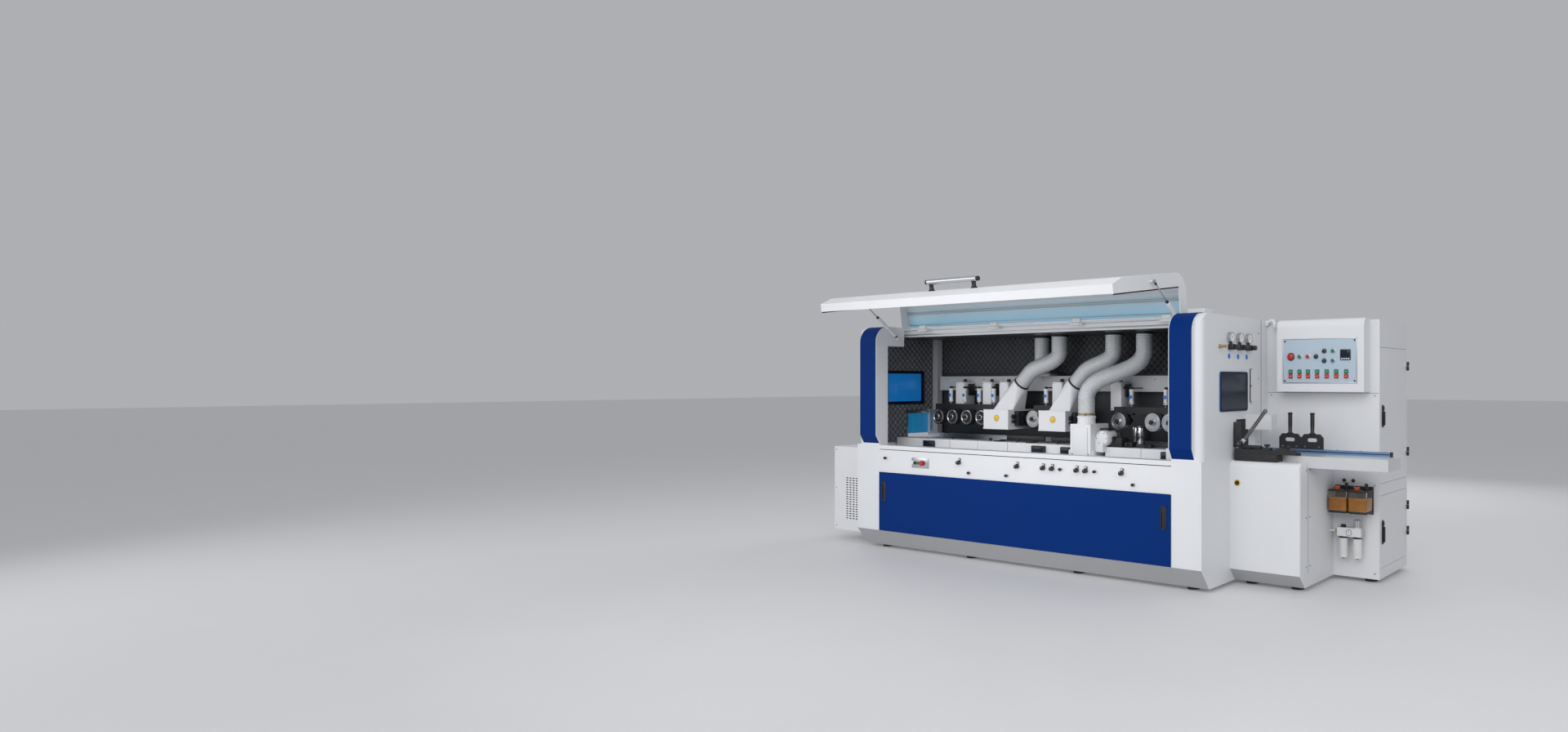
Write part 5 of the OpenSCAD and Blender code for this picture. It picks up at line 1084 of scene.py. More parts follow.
class MOULDER_OT_front(bpy.types.Operator):
    """Front panel grips, sill knobs, switch plate and stop"""
    bl_idname = "moulder.front"
    bl_label = "Front controls"

    def execute(self, context):
        panel_low, panel_high = span("front_panel")
        cups = Shape()
        z0, z1 = 377, 522
        for x in (panel_low.x + 34, panel_high.x - 69):
            cups.paint("black").block((x + 1, -3.6, z0 + 6), (x + 34, -1.4, z1 - 6), 0.8)
            cups.blocks(2, ((x - 4, -8, z0), (x + 3, -2, z1)), ((x + 32, -8, z0), (x + 39, -2, z1)),
                        ((x - 4, -8, z0), (x + 39, -2, z0 + 8)), ((x - 4, -8, z1 - 8), (x + 39, -2, z1)))
        cups.done("front_panel_grips", "front_panel", "black_plastic")
        knobs = Shape()
        big = sizes().knob * 1000
        for share in BIG_KNOBS:
            at = Vector((-share * BODY_L, 0, BIG_KNOB_Z))
            knobs.paint("satin_alu").turned(at, FRONT, [(14, 0), (14, 2), (9, 3), (9, 7)], 28)
            knobs.paint("black").lobed(at + FRONT * 6, FRONT, big, 24, 12, 0.1, 72, 2)
            box_at(knobs.paint("white_plastic"), at, (-1, -30.6, 3), (1, -29, 11), 0.4)
            box_at(knobs.paint("black"), at, (-11, -7, 13), (11, 0, 30), 2.5)
            box_at(knobs.paint("dial"), at, (-7, -7.6, 18), (7, -6, 26), 0.5)
        for share, z in SMALL_KNOBS:
            at = Vector((-share * BODY_L, 0, z))
            knobs.paint("satin_alu").turned(at, FRONT, [(11, 0), (11, 2), (7, 3), (7, 8)], 24)
            knobs.paint("black").lobed(at + FRONT * 7, FRONT, 10, 15.5, 8, 0.12, 48, 1.5)
        plate, half, face = SILL_PLATE_X, SILL_PLATE_W / 2, -4
        z0, z1 = SILL_PLATE_Z - 37.5, SILL_PLATE_Z + 37.5
        knobs.paint("satin_alu").block((plate - half, face, z0), (plate + half, 0.2, z1), 1.5)
        corners = [(plate + dx, face, z) for dx in (-80, 80) for z in (z0 + 7, z1 - 7)]
        knobs.paint("screw").bolts(FRONT, 6, 1.6, *corners)
        for share, cap in ((-0.4, "white_plastic"), (-0.25, "black"), (-0.1, "green")):
            at = (plate + share * SILL_PLATE_W, face, SILL_PLATE_Z)
            knobs.paint("satin_alu").turned(at, FRONT, [(15, 0), (15, 3), (13, 4.5), (12.2, 4.5)], 32)
            knobs.paint(cap).turned(at, FRONT, [(12.1, 0), (12.1, 12), (11, 14), (0, 14.3)], 32)
        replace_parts(knobs.done("sill_controls", "machine", "black_plastic"), "sill_adjusters")
        stop = Shape().paint("red")
        mushroom(stop, plate + 0.13 * SILL_PLATE_W, face, SILL_PLATE_Z, 22)
        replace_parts(stop.done("sill_stop_head", "sill_stop", "red_plastic"), "sill_stop")
        # Thin plates over the plinth slopes in the darkened plinth finish, which paints the shade on these
        # down-facing slopes
        slopes = Shape().paint("plinth")
        for node, (deep, z1) in zip(("base_cabinet", "infeed_cabinet"), PLINTH_SLOPES):
            low, high = span(node)
            y, z0 = low.y, low.z
            slope = [(y + deep - 1, z0 + 1), (y + 1, z1 - 1), (y, z1 - 2), (y + deep - 2, z0)]
            slopes.prism(slope, "x", low.x + 2, high.x - 2)
        slopes.done("plinth_plates", "machine", "white_paint")
        line = Shape().paint("arm_black")
        line.block((panel_low.x + 2, -0.6, 765), (panel_high.x - 2, 4.4, 768), 0.5)
        line.done("sill_shadow_line", "machine", "black_plastic")
        return {"FINISHED"}


def slotted_plate(shape, x, y0, y1, z0, w, h=95.0):
    """Bracket plate in two halves round an oval slot, with chamfered top corners."""
    mid, level, half, r = x + w / 2, z0 + h * 0.6, 22.0, 12.0
    for side in (-1, 1):
        arc = []
        for k in range(13):
            t = math.radians(-90 + 15 * k)
            arc.append((mid + side * (half + r * math.cos(t)), level + r * math.sin(t)))
        edge = mid + side * w / 2
        outline = [(mid, z0), (mid, level - r)] + arc + [(mid, level + r), (mid, z0 + h)]
        outline += [(edge - side * w / 7, z0 + h), (edge, z0 + h * 3 / 4), (edge, z0)]
        shape.prism(outline, "y", y0, y1)


# Side pressure unit: arms, clamps and plates as low and high corner
UNIT_ARMS = (
    ((206, 392, 858), (262, 438, 872)), ((330, 394, 856), (418, 436, 866)),
    ((60, 398, 866), (196, 430, 884)), ((100, 432, 858), (126, 560, 872)),
    ((278, 440, 852), (302, 560, 866)), ((26, 396, 884), (44, 436, 1000)),
)
UNIT_BOLT, UNIT_KNOBS, UNIT_ROLLERS = Vector((52, 394, 892)), ((236, 870, 19), (375, 865, 16)), (112, 290)
LEVER_PIVOT, LEVER_TILT = (62, 415, 892), 52
BRACKET_W = 145.0


class MOULDER_OT_infeed(bpy.types.Operator):
    """Fence, brackets, pressure unit and jog button at the infeed"""
    bl_idname = "moulder.infeed"
    bl_label = "Infeed table trim"

    def execute(self, context):
        fence_low, fence_high = span("guide_fence")
        y0, y1, top = fence_low.y, fence_high.y, fence_high.z
        shape = Shape()
        grip = [(22, 0), (22, 6), (15, 9), (12, 14), (13.5, 60), (13.5, 112),
                (12.5, 122), (15.5, 126), (15.5, 134), (11, 137.5)]
        bracket_low, bracket_high = span("fence_brackets")
        for x in (bracket_low.x, bracket_high.x - BRACKET_W):
            slotted_plate(shape.paint("arm_black"), x, y0, y1, top, BRACKET_W)
            shape.paint("black").turned((x + BRACKET_W / 2, (y0 + y1) / 2, top + 93), UP, grip, 32)
            feet = [(x + dx, y0, top + 15) for dx in (26, BRACKET_W - 26)]
            shape.paint("screw").bolts(FRONT, 12, 5, *feet)
        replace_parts(shape.done("fence_brackets_slotted", "machine", "dark_steel"), "fence_brackets")
        shape = Shape()
        x0, x1 = fence_low.x, fence_high.x
        shape.paint("black").block((x1 - 12, y0 - 1.6, top - 27.6), (x1 + 3, y1 + 1.6, top + 2), 2)
        shape.paint("navy").block((x0 + 4, y0 - 0.7, top - 17), (x1 - 14, y0 + 0.4, top - 12), 0.4)
        shape.paint("screw")
        for k in range(6):
            shape.bolt((x0 + 40 + 150 * k, (y0 + y1) / 2, top), UP, 9, 3)
        shape.done("guide_fence_trim", "machine", "dark_steel")
        unit = Shape()
        unit.paint("polished").turned((34, 448, 846), INFEED, [(5, 0), (6, 1), (6, 268), (5, 269)], 20)
        unit.paint("arm_black").block((24, 392, 790), (306, 396, 828), 2)
        unit.block((300, 470, 826), (430, 486, 846), 3)
        unit.blocks(4, *UNIT_ARMS)
        unit.turned(UNIT_BOLT, FRONT, [(20, 0), (20, 5), (15, 8), (8, 9)], 28)
        unit.paint("screw").bolt(UNIT_BOLT + FRONT * 9, FRONT, 12, 4)
        unit.paint("arm_black").block((472, 520, 752), (560, 596, 786.6), 5)
        unit.turned((520, 520, 766), FRONT, [(11, 0), (11, 10), (8, 13)], 20)
        for x in UNIT_ROLLERS:
            unit.paint("rubber").turned((x, 584, 838), UP, [(15, 0), (18, 2), (18, 24), (15, 26)], 28)
            unit.paint("screw").bolts(UP, 9, 4, (x, 584, 863), (x, 450, 860))
        for x, z, r in UNIT_KNOBS:
            star_knob(unit, (x, LEVER_PIVOT[1], z), UP, r)
        unit.done("pressure_unit_trim", "machine", "dark_steel")
        lever_turn = Matrix.Rotation(math.radians(-LEVER_TILT), 4, "Y")
        lever = Shape(DATUM @ Matrix.Translation(LEVER_PIVOT) @ lever_turn)
        ball = [(11, 0), (12, 3), (12.8, 9), (11.5, 16), (7, 21), (0, 22.5)]
        lever.paint("lever_steel").turned((252, 0, 0), INFEED, ball, 28)
        lever.block((8, -7, -11), (150, 7, 11), 4, 3)
        lever.turned((148, 0, 0), INFEED, [(11, 0), (12.5, 4), (11, 20), (11, 106)], 28)
        lever.paint("satin_alu").block((-12, -15, -14), (34, 15, 14), 5, 3)
        lever.done("clamp_lever_ball", "clamp_lever", "polished")
        jog_at = Vector((51, span("infeed_cabinet")[0].y, 648))
        jog = Shape().paint("yellow").ring(jog_at + BACK * 0.2, FRONT, 21, 14.5, 3, 0.8, 40)
        jog.paint("black").turned(jog_at, FRONT, [(14, 0), (14, 6), (12, 9), (0, 10)], 32)
        jog.done("jog_button", "machine", "black_plastic")
        return {"FINISHED"}


# The console's plate; its fittings stand a little in front of the panel's back
PANEL_LOW, PANEL_HIGH = span("console_panel")
PANEL_Y = PANEL_HIGH.y - 4
STOP_SPOT = (0.111, 0.6)
PAIRS_ACROSS = (0.111, 0.236, 0.354, 0.479, 0.61, 0.737, 0.869)
SWITCHES = (("green", 0.236, 0.6), ("red", 0.347, 0.6), ("black", 0.458, 0.6), ("black", 0.57, 0.72),
            ("black", 0.57, 0.5), ("green", 0.69, 0.72), ("green", 0.69, 0.5))


def panel_point(across, up):
    """Point on the console's panel plate from shares of its width and height."""
    size = PANEL_HIGH - PANEL_LOW
    return Vector((PANEL_LOW.x + across * size.x, PANEL_Y, PANEL_LOW.z + up * size.z))


class MOULDER_OT_console(bpy.types.Operator):
    """Lamps, selectors, display, stop and push buttons of the console"""
    bl_idname = "moulder.console"
    bl_label = "Console"

    def execute(self, context):
        shape = Shape()
        (x0, z0), (x1, z1) = PANEL_LOW.xz, PANEL_HIGH.xz
        y0, y1 = PANEL_Y - 1.5, PANEL_Y + 4
        shape.paint("satin_alu")
        shape.blocks(1, ((x0 - 3, y0, z0 - 3), (x0 + 2, y1, z1 + 3)),
                     ((x1 - 2, y0, z0 - 3), (x1 + 3, y1, z1 + 3)),
                     ((x0 - 3, y0, z0 - 3), (x1 + 3, y1, z0 + 2)),
                     ((x0 - 3, y0, z1 - 2), (x1 + 3, y1, z1 + 3)))
        corners = [panel_point(across, up) for across in (0.025, 0.975) for up in (0.045, 0.955)]
        shape.paint("arm_black").bolts(FRONT, 11, 4, *corners)
        for cap, across, up in SWITCHES:
            at = panel_point(across, up)
            shape.paint("satin_alu" if cap != "black" else "black")
            shape.turned(at, FRONT, [(16, 0), (16, 3), (14, 4.5), (12.4, 4.5)], 32)
            shape.paint(cap).turned(at, FRONT, [(12.3, 0), (12.3, 12.5), (11, 14.6), (0, 15.2)], 32)
            if cap == "black":
                box_at(shape.paint("arm_black"), at, (-3.5, -21, -11), (3.5, -14, 11), 1.5)
                box_at(shape.paint("white_plastic"), at, (-0.8, -21.4, 3), (0.8, -20, 10), 0.3)
        screen = panel_point(0.855, 0.63)
        box_at(shape.paint("black"), screen, (-34, -7, -34), (34, 0.2, 34), 3, 3)
        box_at(shape.paint("smoke"), screen, (-28, -7.6, -16), (28, -6, 28), 0.5)
        shape.paint("white_plastic")
        for k in range(4):
            box_at(shape, screen + Vector((-22.5 + 15 * k, -7.8, -25)), (-5, 0, -4), (5, 1.4, 4), 0.6)
        stop = panel_point(*STOP_SPOT)
        shape.paint("arm_black").ring(stop, FRONT, 26, 21, 3.5, 1, 40)
        shape.paint("white_plastic")
        for across in PAIRS_ACROSS:
            at = panel_point(across, 0.2025)
            for u0, v0, u1, v1 in ((-17, -30, -14.6, 31), (14.6, -30, 17, 31),
                                   (-17, -30, 17, -28.6), (-17, 29.6, 17, 31)):
                box_at(shape, at, (u0, -3, v0), (u1, 0.2, v1), 0.5)
        shape.done("console_fittings", "machine", "panel_plate")
        head = Shape().paint("red")
        mushroom(head, stop.x, PANEL_Y, stop.z, 22)
        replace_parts(head.done("emergency_stop_head", "emergency_stop", "red_plastic"), "emergency_stop")
        for name, up, cap in (("start_buttons", 0.255, "green"), ("stop_buttons", 0.15, "red")):
            row = Shape()
            for across in PAIRS_ACROSS:
                at = panel_point(across, up)
                box_at(row.paint(cap), at, (-13, -13, -13.5), (13, -5, 13.5), 2.5, 3)
                box_at(row.paint("white_plastic"), at, (-6, -13.5, -1), (6, -12.6, 1), 0.3)
                row.paint("black").turned(at + FRONT * 5.2, BACK, [(5, 0), (5, 21), (4, 22)], 20)
            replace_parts(row.done(name + "_caps", name, cap + "_plastic"), name)
        return {"FINISHED"}


class MOULDER_OT_cabinets(bpy.types.Operator):
    """Door handles, hinges, seams and screws of the cabinets"""
    bl_idname = "moulder.cabinets"
    bl_label = "Cabinets"

    def execute(self, context):
        fixed = Shape().paint("black")
        knuckle = [(8.3, 0), (9, 1), (9, 28), (8.3, 29)]
        for door, z0, z1 in (("upper_door", 995, 1125), ("lower_door", 250, 390)):
            low, high = span(door)
            face, lock = high.x, (low.y + 46.5, z1 - 16)
            shape = Shape().paint("black")
            shape.block((face - 17.5, low.y + 29, z0 - 6), (face - 12, low.y + 64, z1 + 6), 2.5, 3)
            shape.block((face - 13, low.y + 36, z0 + 6), (face, low.y + 57, z1 - 34), 5, 3)
            shape.turned((face - 13, *lock), INFEED, [(13, 0), (13, 6), (11, 8), (0, 8)], 28)
            for z in (low.z + 143, high.z - 143):
                shape.turned((face - 8, high.y - 8, z + 31.4), UP, knuckle, 24)
                fixed.turned((face - 8, high.y - 8, z + 0.4), UP, knuckle, 24)
            barrel = [(6, 0), (6, 2), (5, 2.6), (0, 2.6)]
            shape.paint("satin_alu").turned((face - 6, *lock), INFEED, barrel, 20)
            shape.done(door + "_handle", door, "black_plastic")
        for x in (539, 599):
            gland = [(12, 0), (12, 4), (10, 7), (7, 9), (7, 14)]
            fixed.turned((x, CABINET_Y + 0.2, 644), FRONT, gland, 28)
        end = span("infeed_cabinet")[1].x
        fixed.paint("arm_black").blocks(0.3, ((4, CABINET_Y - 1.1, 1206), (766, CABINET_Y + 0.3, 1208)),
                                        ((end - 1.4, 500, 110), (end + 0.6, 502.4, 760)))
        fixed.paint("screw")
        for z in (150, 450, 740):
            fixed.bolts(INFEED, 9, 3, (end, 470, z), (end, 530, z))
        for z in (60, 620, 1190):
            fixed.bolts(FRONT, 9, 3, (30, CABINET_Y, z), (740, CABINET_Y, z))
        fixed.done("cabinet_fittings", "machine", "black_plastic")
        low, high = span("outfeed_cabinet")
        out = Shape()
        out.paint("arm_black").block((low.x - 0.5, 425, 100), (low.x + 0.8, 428, 745), 0.3)
        out.paint("screw")
        for z in (115, 420, 730):
            out.bolts(FRONT, 9, 3, (low.x + 26, low.y, z), (high.x - 27, low.y, z))
        out.paint("black").block((high.x - 52, low.y - 8, 400), (high.x - 32, low.y + 0.3, 500), 4)
        out.done("outfeed_cabinet_fittings", "machine", "black_plastic")
        return {"FINISHED"}


def dial(shape, at, axis, r, ticks=11):
    """Round gauge face with ticks and a needle."""
    at = Vector(at)
    side = UP.cross(axis)

    def hand(turn, heights, ends):
        """Flat bar on the face, pointing a turn in degrees from the top."""
        t = math.radians(turn)
        out, across = math.sin(t) * side + math.cos(t) * UP, math.cos(t) * side - math.sin(t) * UP
        shape.add([at + axis * h + out * d + across * w for h in heights for d, w in ends], BOX_FACES)

    shape.paint("polished").ring(at - axis * 3, axis, r, r - 4.5, 6.5, 1, 40)
    shape.paint("dial").turned(at, axis, [(r - 3, -2), (r - 3, 0.8), (0, 0.8)], 40)
    shape.paint("arm_black")
    for k in range(ticks):
        tick = ((r - 11, -0.6), (r - 6, -0.6), (r - 6, 0.6), (r - 11, 0.6))
        hand(-130 + 260 * k / (ticks - 1), (0.7, 1.1), tick)
    shape.paint("red")
    hand(-40, (1.2, 2.0), ((-6, -1.2), (r - 10, -0.3), (r - 10, 0.3), (-6, 1.2)))
    shape.paint("black").turned(at, axis, [(3, 0.8), (3, 2.4), (0, 2.6)], 16)


# Regulators on the infeed end wall: a gauge, a knob and a plain disc each, and a scale
GAUGE_Y, GAUGE_Z, KNOB_Z, DISC_Z = (362.5, 488.65, 613.35), 1558, 1498, 1440
SCALE_Y, SCALE_Z0, SCALE_Z1 = 656, 1147, 1361


class MOULDER_OT_gauges(bpy.types.Operator):
    """Pressure gauges, regulators and scale on the infeed end wall"""
    bl_idname = "moulder.gauges"
    bl_label = "Gauges"

    def execute(self, context):
        shape = Shape()
        for y in GAUGE_Y:
            dial(shape, (24, y, GAUGE_Z), INFEED, 34)
            case = [(30, 0), (32.5, 2), (33, 4), (33, 22)]
            shape.paint("polished").turned((0, y, GAUGE_Z), INFEED, case, 40)
            shape.paint("black").block((0, y - 17.5, KNOB_Z - 18), (38.5, y + 17.5, KNOB_Z + 18), 3)
            shape.turned((14, y, KNOB_Z + 14), UP, [(9, 0), (9, 16)], 20)
            shape.lobed((40, y, KNOB_Z), INFEED, 15.5, 30, 18, 0.08, 90, 2)
            shape.turned((37, y, KNOB_Z), INFEED, [(16, 0), (16, 3), (13, 4)], 28)
            disc = [(17, 0), (17, 0.9), (16.4, 1.3), (0, 1.3)]
            shape.paint("disc_blue").turned((0, y, DISC_Z), INFEED, disc, 32)
        valve = [(13, 0), (13, 6), (9.4, 7), (9.4, 45.5), (7, 47)]
        shape.paint("brass").turned((0, 230.55, KNOB_Z), INFEED, valve, 24)
        y, z0, z1 = SCALE_Y, SCALE_Z0, SCALE_Z1
        shape.paint("dial").block((7.6, y + 5, z0 + 3), (8.8, y + 21, z1 - 3), 0.3)
        shape.paint("arm_black")
        for k in range(20):
            wide, z = 9 if k % 5 == 0 else 5, z0 + 10 + 10 * k
            shape.block((8.6, y + 20 - wide, z), (9.2, y + 20, z + 1.2), 0.2)
        shape.paint("red").prism([(y, 1246), (y + 14, 1252), (y, 1258)], "x", 8.6, 12, 0.6)
        shape.paint("satin_alu")
        shape.blocks(1, ((0, y, z0 - 7), (9.5, y + 26, z0)), ((0, y, z1), (9.5, y + 26, z1 + 7)))
        shape.paint("black").block((0, y + 4, z0), (8, y + 22, z1), 1)
        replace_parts(shape.done("gauge_fittings", "machine", "black_plastic"), "pressure_regulators")
        return {"FINISHED"}


class MOULDER_OT_services(bpy.types.Operator):
    """Oil tanks and air service unit"""
    bl_idname = "moulder.services"
    bl_label = "Oil and air units"

    def execute(self, context):
        low, high = span("lubrication_units")
        width, oil_h, tank_h, lid_h = 118, 98, 138, 143
        pump = [(15, 0), (15, 20), (11, 23), (11, 40), (6, 43)]
        depth, wall = high.y - low.y, high.y - low.y - 9
        shape = Shape()
        for x in (low.x, high.x - width):
            at = Vector((x, low.y, low.z))
            lid = at + UP * lid_h
            box_at(shape.paint("arm_black"), at, (-3, wall, -14), (width + 3, depth + 0.2, 162), 3)
            box_at(shape.paint("black"), at, (-1, -1, -2), (width + 1, depth - 1, 12), 4)
            box_at(shape.paint("oil_tank"), at, (-0.4, -0.4, 11), (width + 0.4, wall, oil_h), 9.4, 3)
            box_at(shape.paint("clear"), at, (0, 0, 5), (width, wall, tank_h), 9, 3)
            box_at(shape.paint("black"), lid, (-2, -2, -8), (width + 2, depth - 1, 1), 3)
            shape.paint("orange").lobed(lid + Vector((42, 50, 0)), UP, 19, 20, 10, 0.1, 60, 2)
            shape.paint("black").turned(lid + Vector((92, 80, 0)), UP, pump, 24)
            shape.turned(lid + Vector((16, 80, 0)), UP, [(7, 0), (7, 14), (5, 16)], 16)
            shape.paint("satin_alu").turned(at + Vector((92, 80, 20)), UP, [(4, 0), (4, 116)], 12)
        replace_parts(shape.done("oil_tanks", "machine", "oil_tank"), "lubrication_units")
        low, high = span("air_service_unit")
        air = Shape()
        y, filter_x, oiler_x = low.y + 28, high.x - 126, high.x - 34
        for x in (filter_x, oiler_x):
            at = Vector((x, y, low.z))
            air.paint("black").ring(at + UP * 123, UP, 30, 26, 13, 2, 36)
            air.paint("clear").ring(at + UP * 16, UP, 27.6, 26.6, 106, 0.3, 36)
            air.paint("black").turned(at, DOWN, [(10, -1), (10, 5), (6, 9)], 20)
            air.paint("white_plastic")
            for k in range(10):
                bar = at + UP * 20 + 26.6 * around(k, 10, INFEED, BACK)
                air.turned(bar, UP, [(1.6, 0), (1.6, 100)], 8)
        head_low, head_mid, head_high = low.z + 134, low.z + 162, low.z + 191
        air.paint("black").lobed((oiler_x, y, head_high + 1), UP, 22.6, 49, 16, 0.06, 96, 2)
        air.turned((filter_x, y, head_high - 1), UP, [(17, 0), (17, 14), (12, 18), (0, 18)], 28)
        dial(air, ((filter_x + oiler_x) / 2, y - 30, head_mid), FRONT, 20, 9)
        air.paint("satin_alu")
        for x in (filter_x - 35, oiler_x + 32):
            air.block((x, y - 29, head_low), (x + 3, y + 29, head_high), 1)
        inlet = [(9, 0), (11, 2), (11, 18), (9, 20)]
        air.paint("brass").turned((low.x + 32, y, head_mid + 0.5), INFEED, inlet, 12)
        air.done("air_unit_fittings", "machine", "white_paint")
        return {"FINISHED"}


# Back covers: their number, and the heights of the screws on them and on the end walls
COVERS, COVER_SCREW_Z, END_SCREW_Z, END_SCREW_Y = 6, (70, 420, 770, 830, 1240, 1660), (880, 1300, 1600), 790
SEAM_Z = span("rear_housing")[0].z
HOUSING_TOP = span("rear_housing")[1].z


class MOULDER_OT_back(bpy.types.Operator):
    """Cover seams and screws on the back and the end walls"""
    bl_idname = "moulder.back"
    bl_label = "Back covers"

    def execute(self, context):
        shape = Shape()
        step = BODY_L / COVERS
        y0, y1 = BACK_Y - 0.6, BACK_Y + 0.5
        shape.paint("arm_black")
        for k in range(1, COVERS):
            x0, x1 = -step * k - 1.5, -step * k + 1.5
            shape.blocks(0.3, ((x0, y0, SEAM_Z + 14), (x1, y1, HOUSING_TOP - 10)),
                         ((x0, y0, 40), (x1, y1, SEAM_Z - 12)))
        shape.block((-BODY_L + 6, y0, SEAM_Z - 2), (-6, y1, SEAM_Z + 2), 0.3)
        shape.paint("screw")
        for k in range(COVERS):
            for dx in (24, step - 24):
                for z in COVER_SCREW_Z:
                    shape.bolt((-step * k - dx, BACK_Y, z), BACK, 10, 3)
        for z in END_SCREW_Z:
            shape.bolt((0, END_SCREW_Y, z), INFEED, 10, 3)
            shape.bolt((-BODY_L, END_SCREW_Y, z), OUTFEED, 10, 3)
        shape.paint("black")
        for k in range(COVERS):
            x = -step * (k + 0.5)
            shape.block((x - 55, BACK_Y, 640), (x + 55, BACK_Y + 12, 664), 5, 3)
        shape.paint("casing").block((-178, 196, 1699.6), (-72, 300, 1724), 6, 3)
        elbow = [(8, 915, 1672), (36, 912, 1690), (58, 905, 1688), (70, 896, 1668), (72, 892, 1640)]
        shape.sweep(elbow, [11, 12, 12, 12, 10], 16)
        shape.block((0, 900, 1655), (16, 934, 1692), 4)
        x0, x1, z = FOAM_LOW.x + 13, FOAM_HIGH.x - 13, ROOF_Z
        shape.paint("satin_alu")
        shape.blocks(1.5, ((x0, 299, z + 15), (x1, 304.8, z + 25)),
                     ((x0, 300, z + 51), (x1, 304.8, z + 57)))
        shape.done("back_cover_fittings", "machine", "white_paint")
        return {"FINISHED"}


# Lamps in metres and watts: place, target, size, power
LAMPS = (
    ("key", (2.4, -5.8, 4.4), (0.2, 0.0, 0.9), 4.0, 93),
    ("fill", (-5.0, -5.5, 3.2), (-0.5, 0.0, 1.0), 4.0, 62),
    ("end", (5.2, -3.4, 3.0), (1.4, 0.3, 1.1), 3.0, 42),
    ("over", (0.0, 0.3, 5.6), (0.0, 0.2, 0.8), 5.0, 26),
    ("back", (0.0, 6.5, 4.0), (0.0, 0.5, 1.0), 4.0, 90),
    ("inside", (-0.3, -4.2, 1.5), (-0.3, 0.3, 1.15), 2.4, 9),
)
FLOOR_HALF = 60.0
SKY, SEEN_BACKDROP = (0.8, 0.82, 0.85, 1), (0.42, 0.43, 0.45, 1)


class MOULDER_OT_stage(bpy.types.Operator):
    """Pale floor, soft lamps, backdrop and camera"""
    bl_idname = "moulder.stage"
    bl_label = "Stage"

    def execute(self, context):
        scene = context.scene
        floor_mesh = bpy.data.meshes.new("studio_floor")
        corners = [(x * FLOOR_HALF, y * FLOOR_HALF, 0) for x, y in ((-1, -1), (1, -1), (1, 1), (-1, 1))]
        floor_mesh.from_pydata(corners, [], [(0, 1, 2, 3)])
        floor = bpy.data.objects.new("studio_floor", floor_mesh)
        scene.collection.objects.link(floor)
        floor.location.z = -0.002
        mat = finish("floor", [0.66, 0.66, 0.67], 0.6, grain=30, vary=0.02, bump=0.0, glow=0.1)
        floor_mesh.materials.append(mat)
        world = bpy.data.worlds.new("studio")
        scene.world = world
        world.use_nodes = True
        tree = world.node_tree
        join = tree.links.new
        shade = tree.nodes["Background"]
        shade.inputs["Color"].default_value = SKY
        shade.inputs["Strength"].default_value = 0.5
        seen = add_node(tree, "Background", Color=SEEN_BACKDROP, Strength=1.0)
        rays = add_node(tree, "LightPath")
        mix = add_node(tree, "MixShader")
        straight = rays.outputs["Is Camera Ray"]
        for kind in ("Is Glossy Ray", "Is Transmission Ray"):
            either = add_node(tree, "Math")
            either.operation = "MAXIMUM"
            join(straight, either.inputs[0])
            join(rays.outputs[kind], either.inputs[1])
            straight = either.outputs[0]
        join(straight, mix.inputs[0])
        join(shade.outputs[0], mix.inputs[1])
        join(seen.outputs[0], mix.inputs[2])
        join(mix.outputs[0], tree.nodes["World Output"].inputs["Surface"])
        for name, place, target, size, power in LAMPS:
            light = bpy.data.lights.new("studio_" + name, "AREA")
            light.size = size
            light.energy = power
            light.spread = math.radians(70 if name == "inside" else 150)
            lamp = bpy.data.objects.new("studio_" + name, light)
            lamp.location = place
            lamp.rotation_euler = (Vector(target) - Vector(place)).to_track_quat("-Z", "Y").to_euler()
            lamp.visible_glossy = name not in ("inside", "back")
            scene.collection.objects.link(lamp)
        lens = bpy.data.cameras.new("photo_camera")
        lens.lens, lens.sensor_width = 21.42, 36.0
        lens.shift_x, lens.shift_y = -0.212, 0.0096
        lens.clip_end = 300.0
        camera = bpy.data.objects.new("photo_camera", lens)
        camera.location = (3.9085, -5.3693, 1.284)
        camera.rotation_euler = (math.radians(90), 0, math.radians(33.7))
        scene.collection.objects.link(camera)
        scene.camera = camera
        scene.view_settings.view_transform = "Standard"
        return {"FINISHED"}


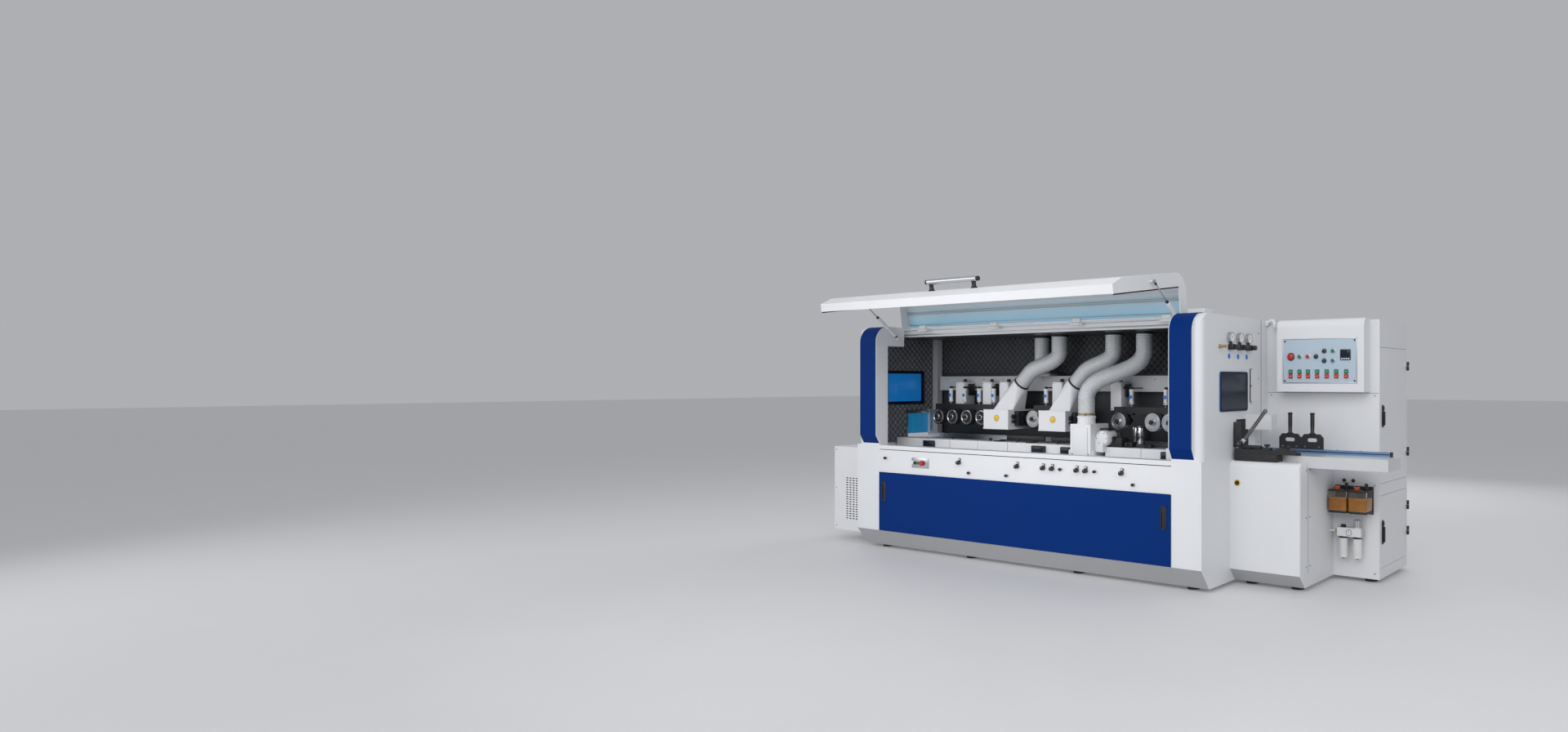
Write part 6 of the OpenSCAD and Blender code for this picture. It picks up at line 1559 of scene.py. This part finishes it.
PIECES = (
    MOULDER_OT_finishes, MOULDER_OT_hoses, MOULDER_OT_foam, MOULDER_OT_curtain, MOULDER_OT_rollers,
    MOULDER_OT_spindles, MOULDER_OT_feed, MOULDER_OT_suction, MOULDER_OT_bed, MOULDER_OT_hood,
    MOULDER_OT_struts, MOULDER_OT_front, MOULDER_OT_infeed, MOULDER_OT_console, MOULDER_OT_cabinets,
    MOULDER_OT_gauges, MOULDER_OT_services, MOULDER_OT_back, MOULDER_OT_stage,
)


class MOULDER_PT_panel(bpy.types.Panel):
    """Lists the moulder's pieces"""
    bl_idname = "MOULDER_PT_panel"
    bl_label = "Four Sided Moulder"
    bl_space_type = "VIEW_3D"
    bl_region_type = "UI"
    bl_category = "Moulder"

    def draw(self, context):
        layout = self.layout
        for group in (colours(), sizes()):
            for prop in group.__annotations__:
                layout.prop(group, prop)
        for piece in PIECES:
            layout.operator(piece.bl_idname)


CLASSES = (MoulderColours, MoulderSizes) + PIECES + (MOULDER_PT_panel,)


def register():
    for item in CLASSES:
        bpy.utils.register_class(item)
    bpy.types.Scene.moulder_colours = bpy.props.PointerProperty(type=MoulderColours)
    bpy.types.Scene.moulder_sizes = bpy.props.PointerProperty(type=MoulderSizes)


def unregister():
    del bpy.types.Scene.moulder_sizes
    del bpy.types.Scene.moulder_colours
    for item in reversed(CLASSES):
        bpy.utils.unregister_class(item)


def main():
    register()
    bpy.ops.moulder.finishes()
    bpy.ops.moulder.hoses()
    bpy.ops.moulder.foam()
    bpy.ops.moulder.curtain()
    bpy.ops.moulder.rollers()
    bpy.ops.moulder.spindles()
    bpy.ops.moulder.feed()
    bpy.ops.moulder.suction()
    bpy.ops.moulder.bed()
    bpy.ops.moulder.hood()
    bpy.ops.moulder.struts()
    bpy.ops.moulder.front()
    bpy.ops.moulder.infeed()
    bpy.ops.moulder.console()
    bpy.ops.moulder.cabinets()
    bpy.ops.moulder.gauges()
    bpy.ops.moulder.services()
    bpy.ops.moulder.back()
    bpy.ops.moulder.stage()


if __name__ == "__main__":
    main()
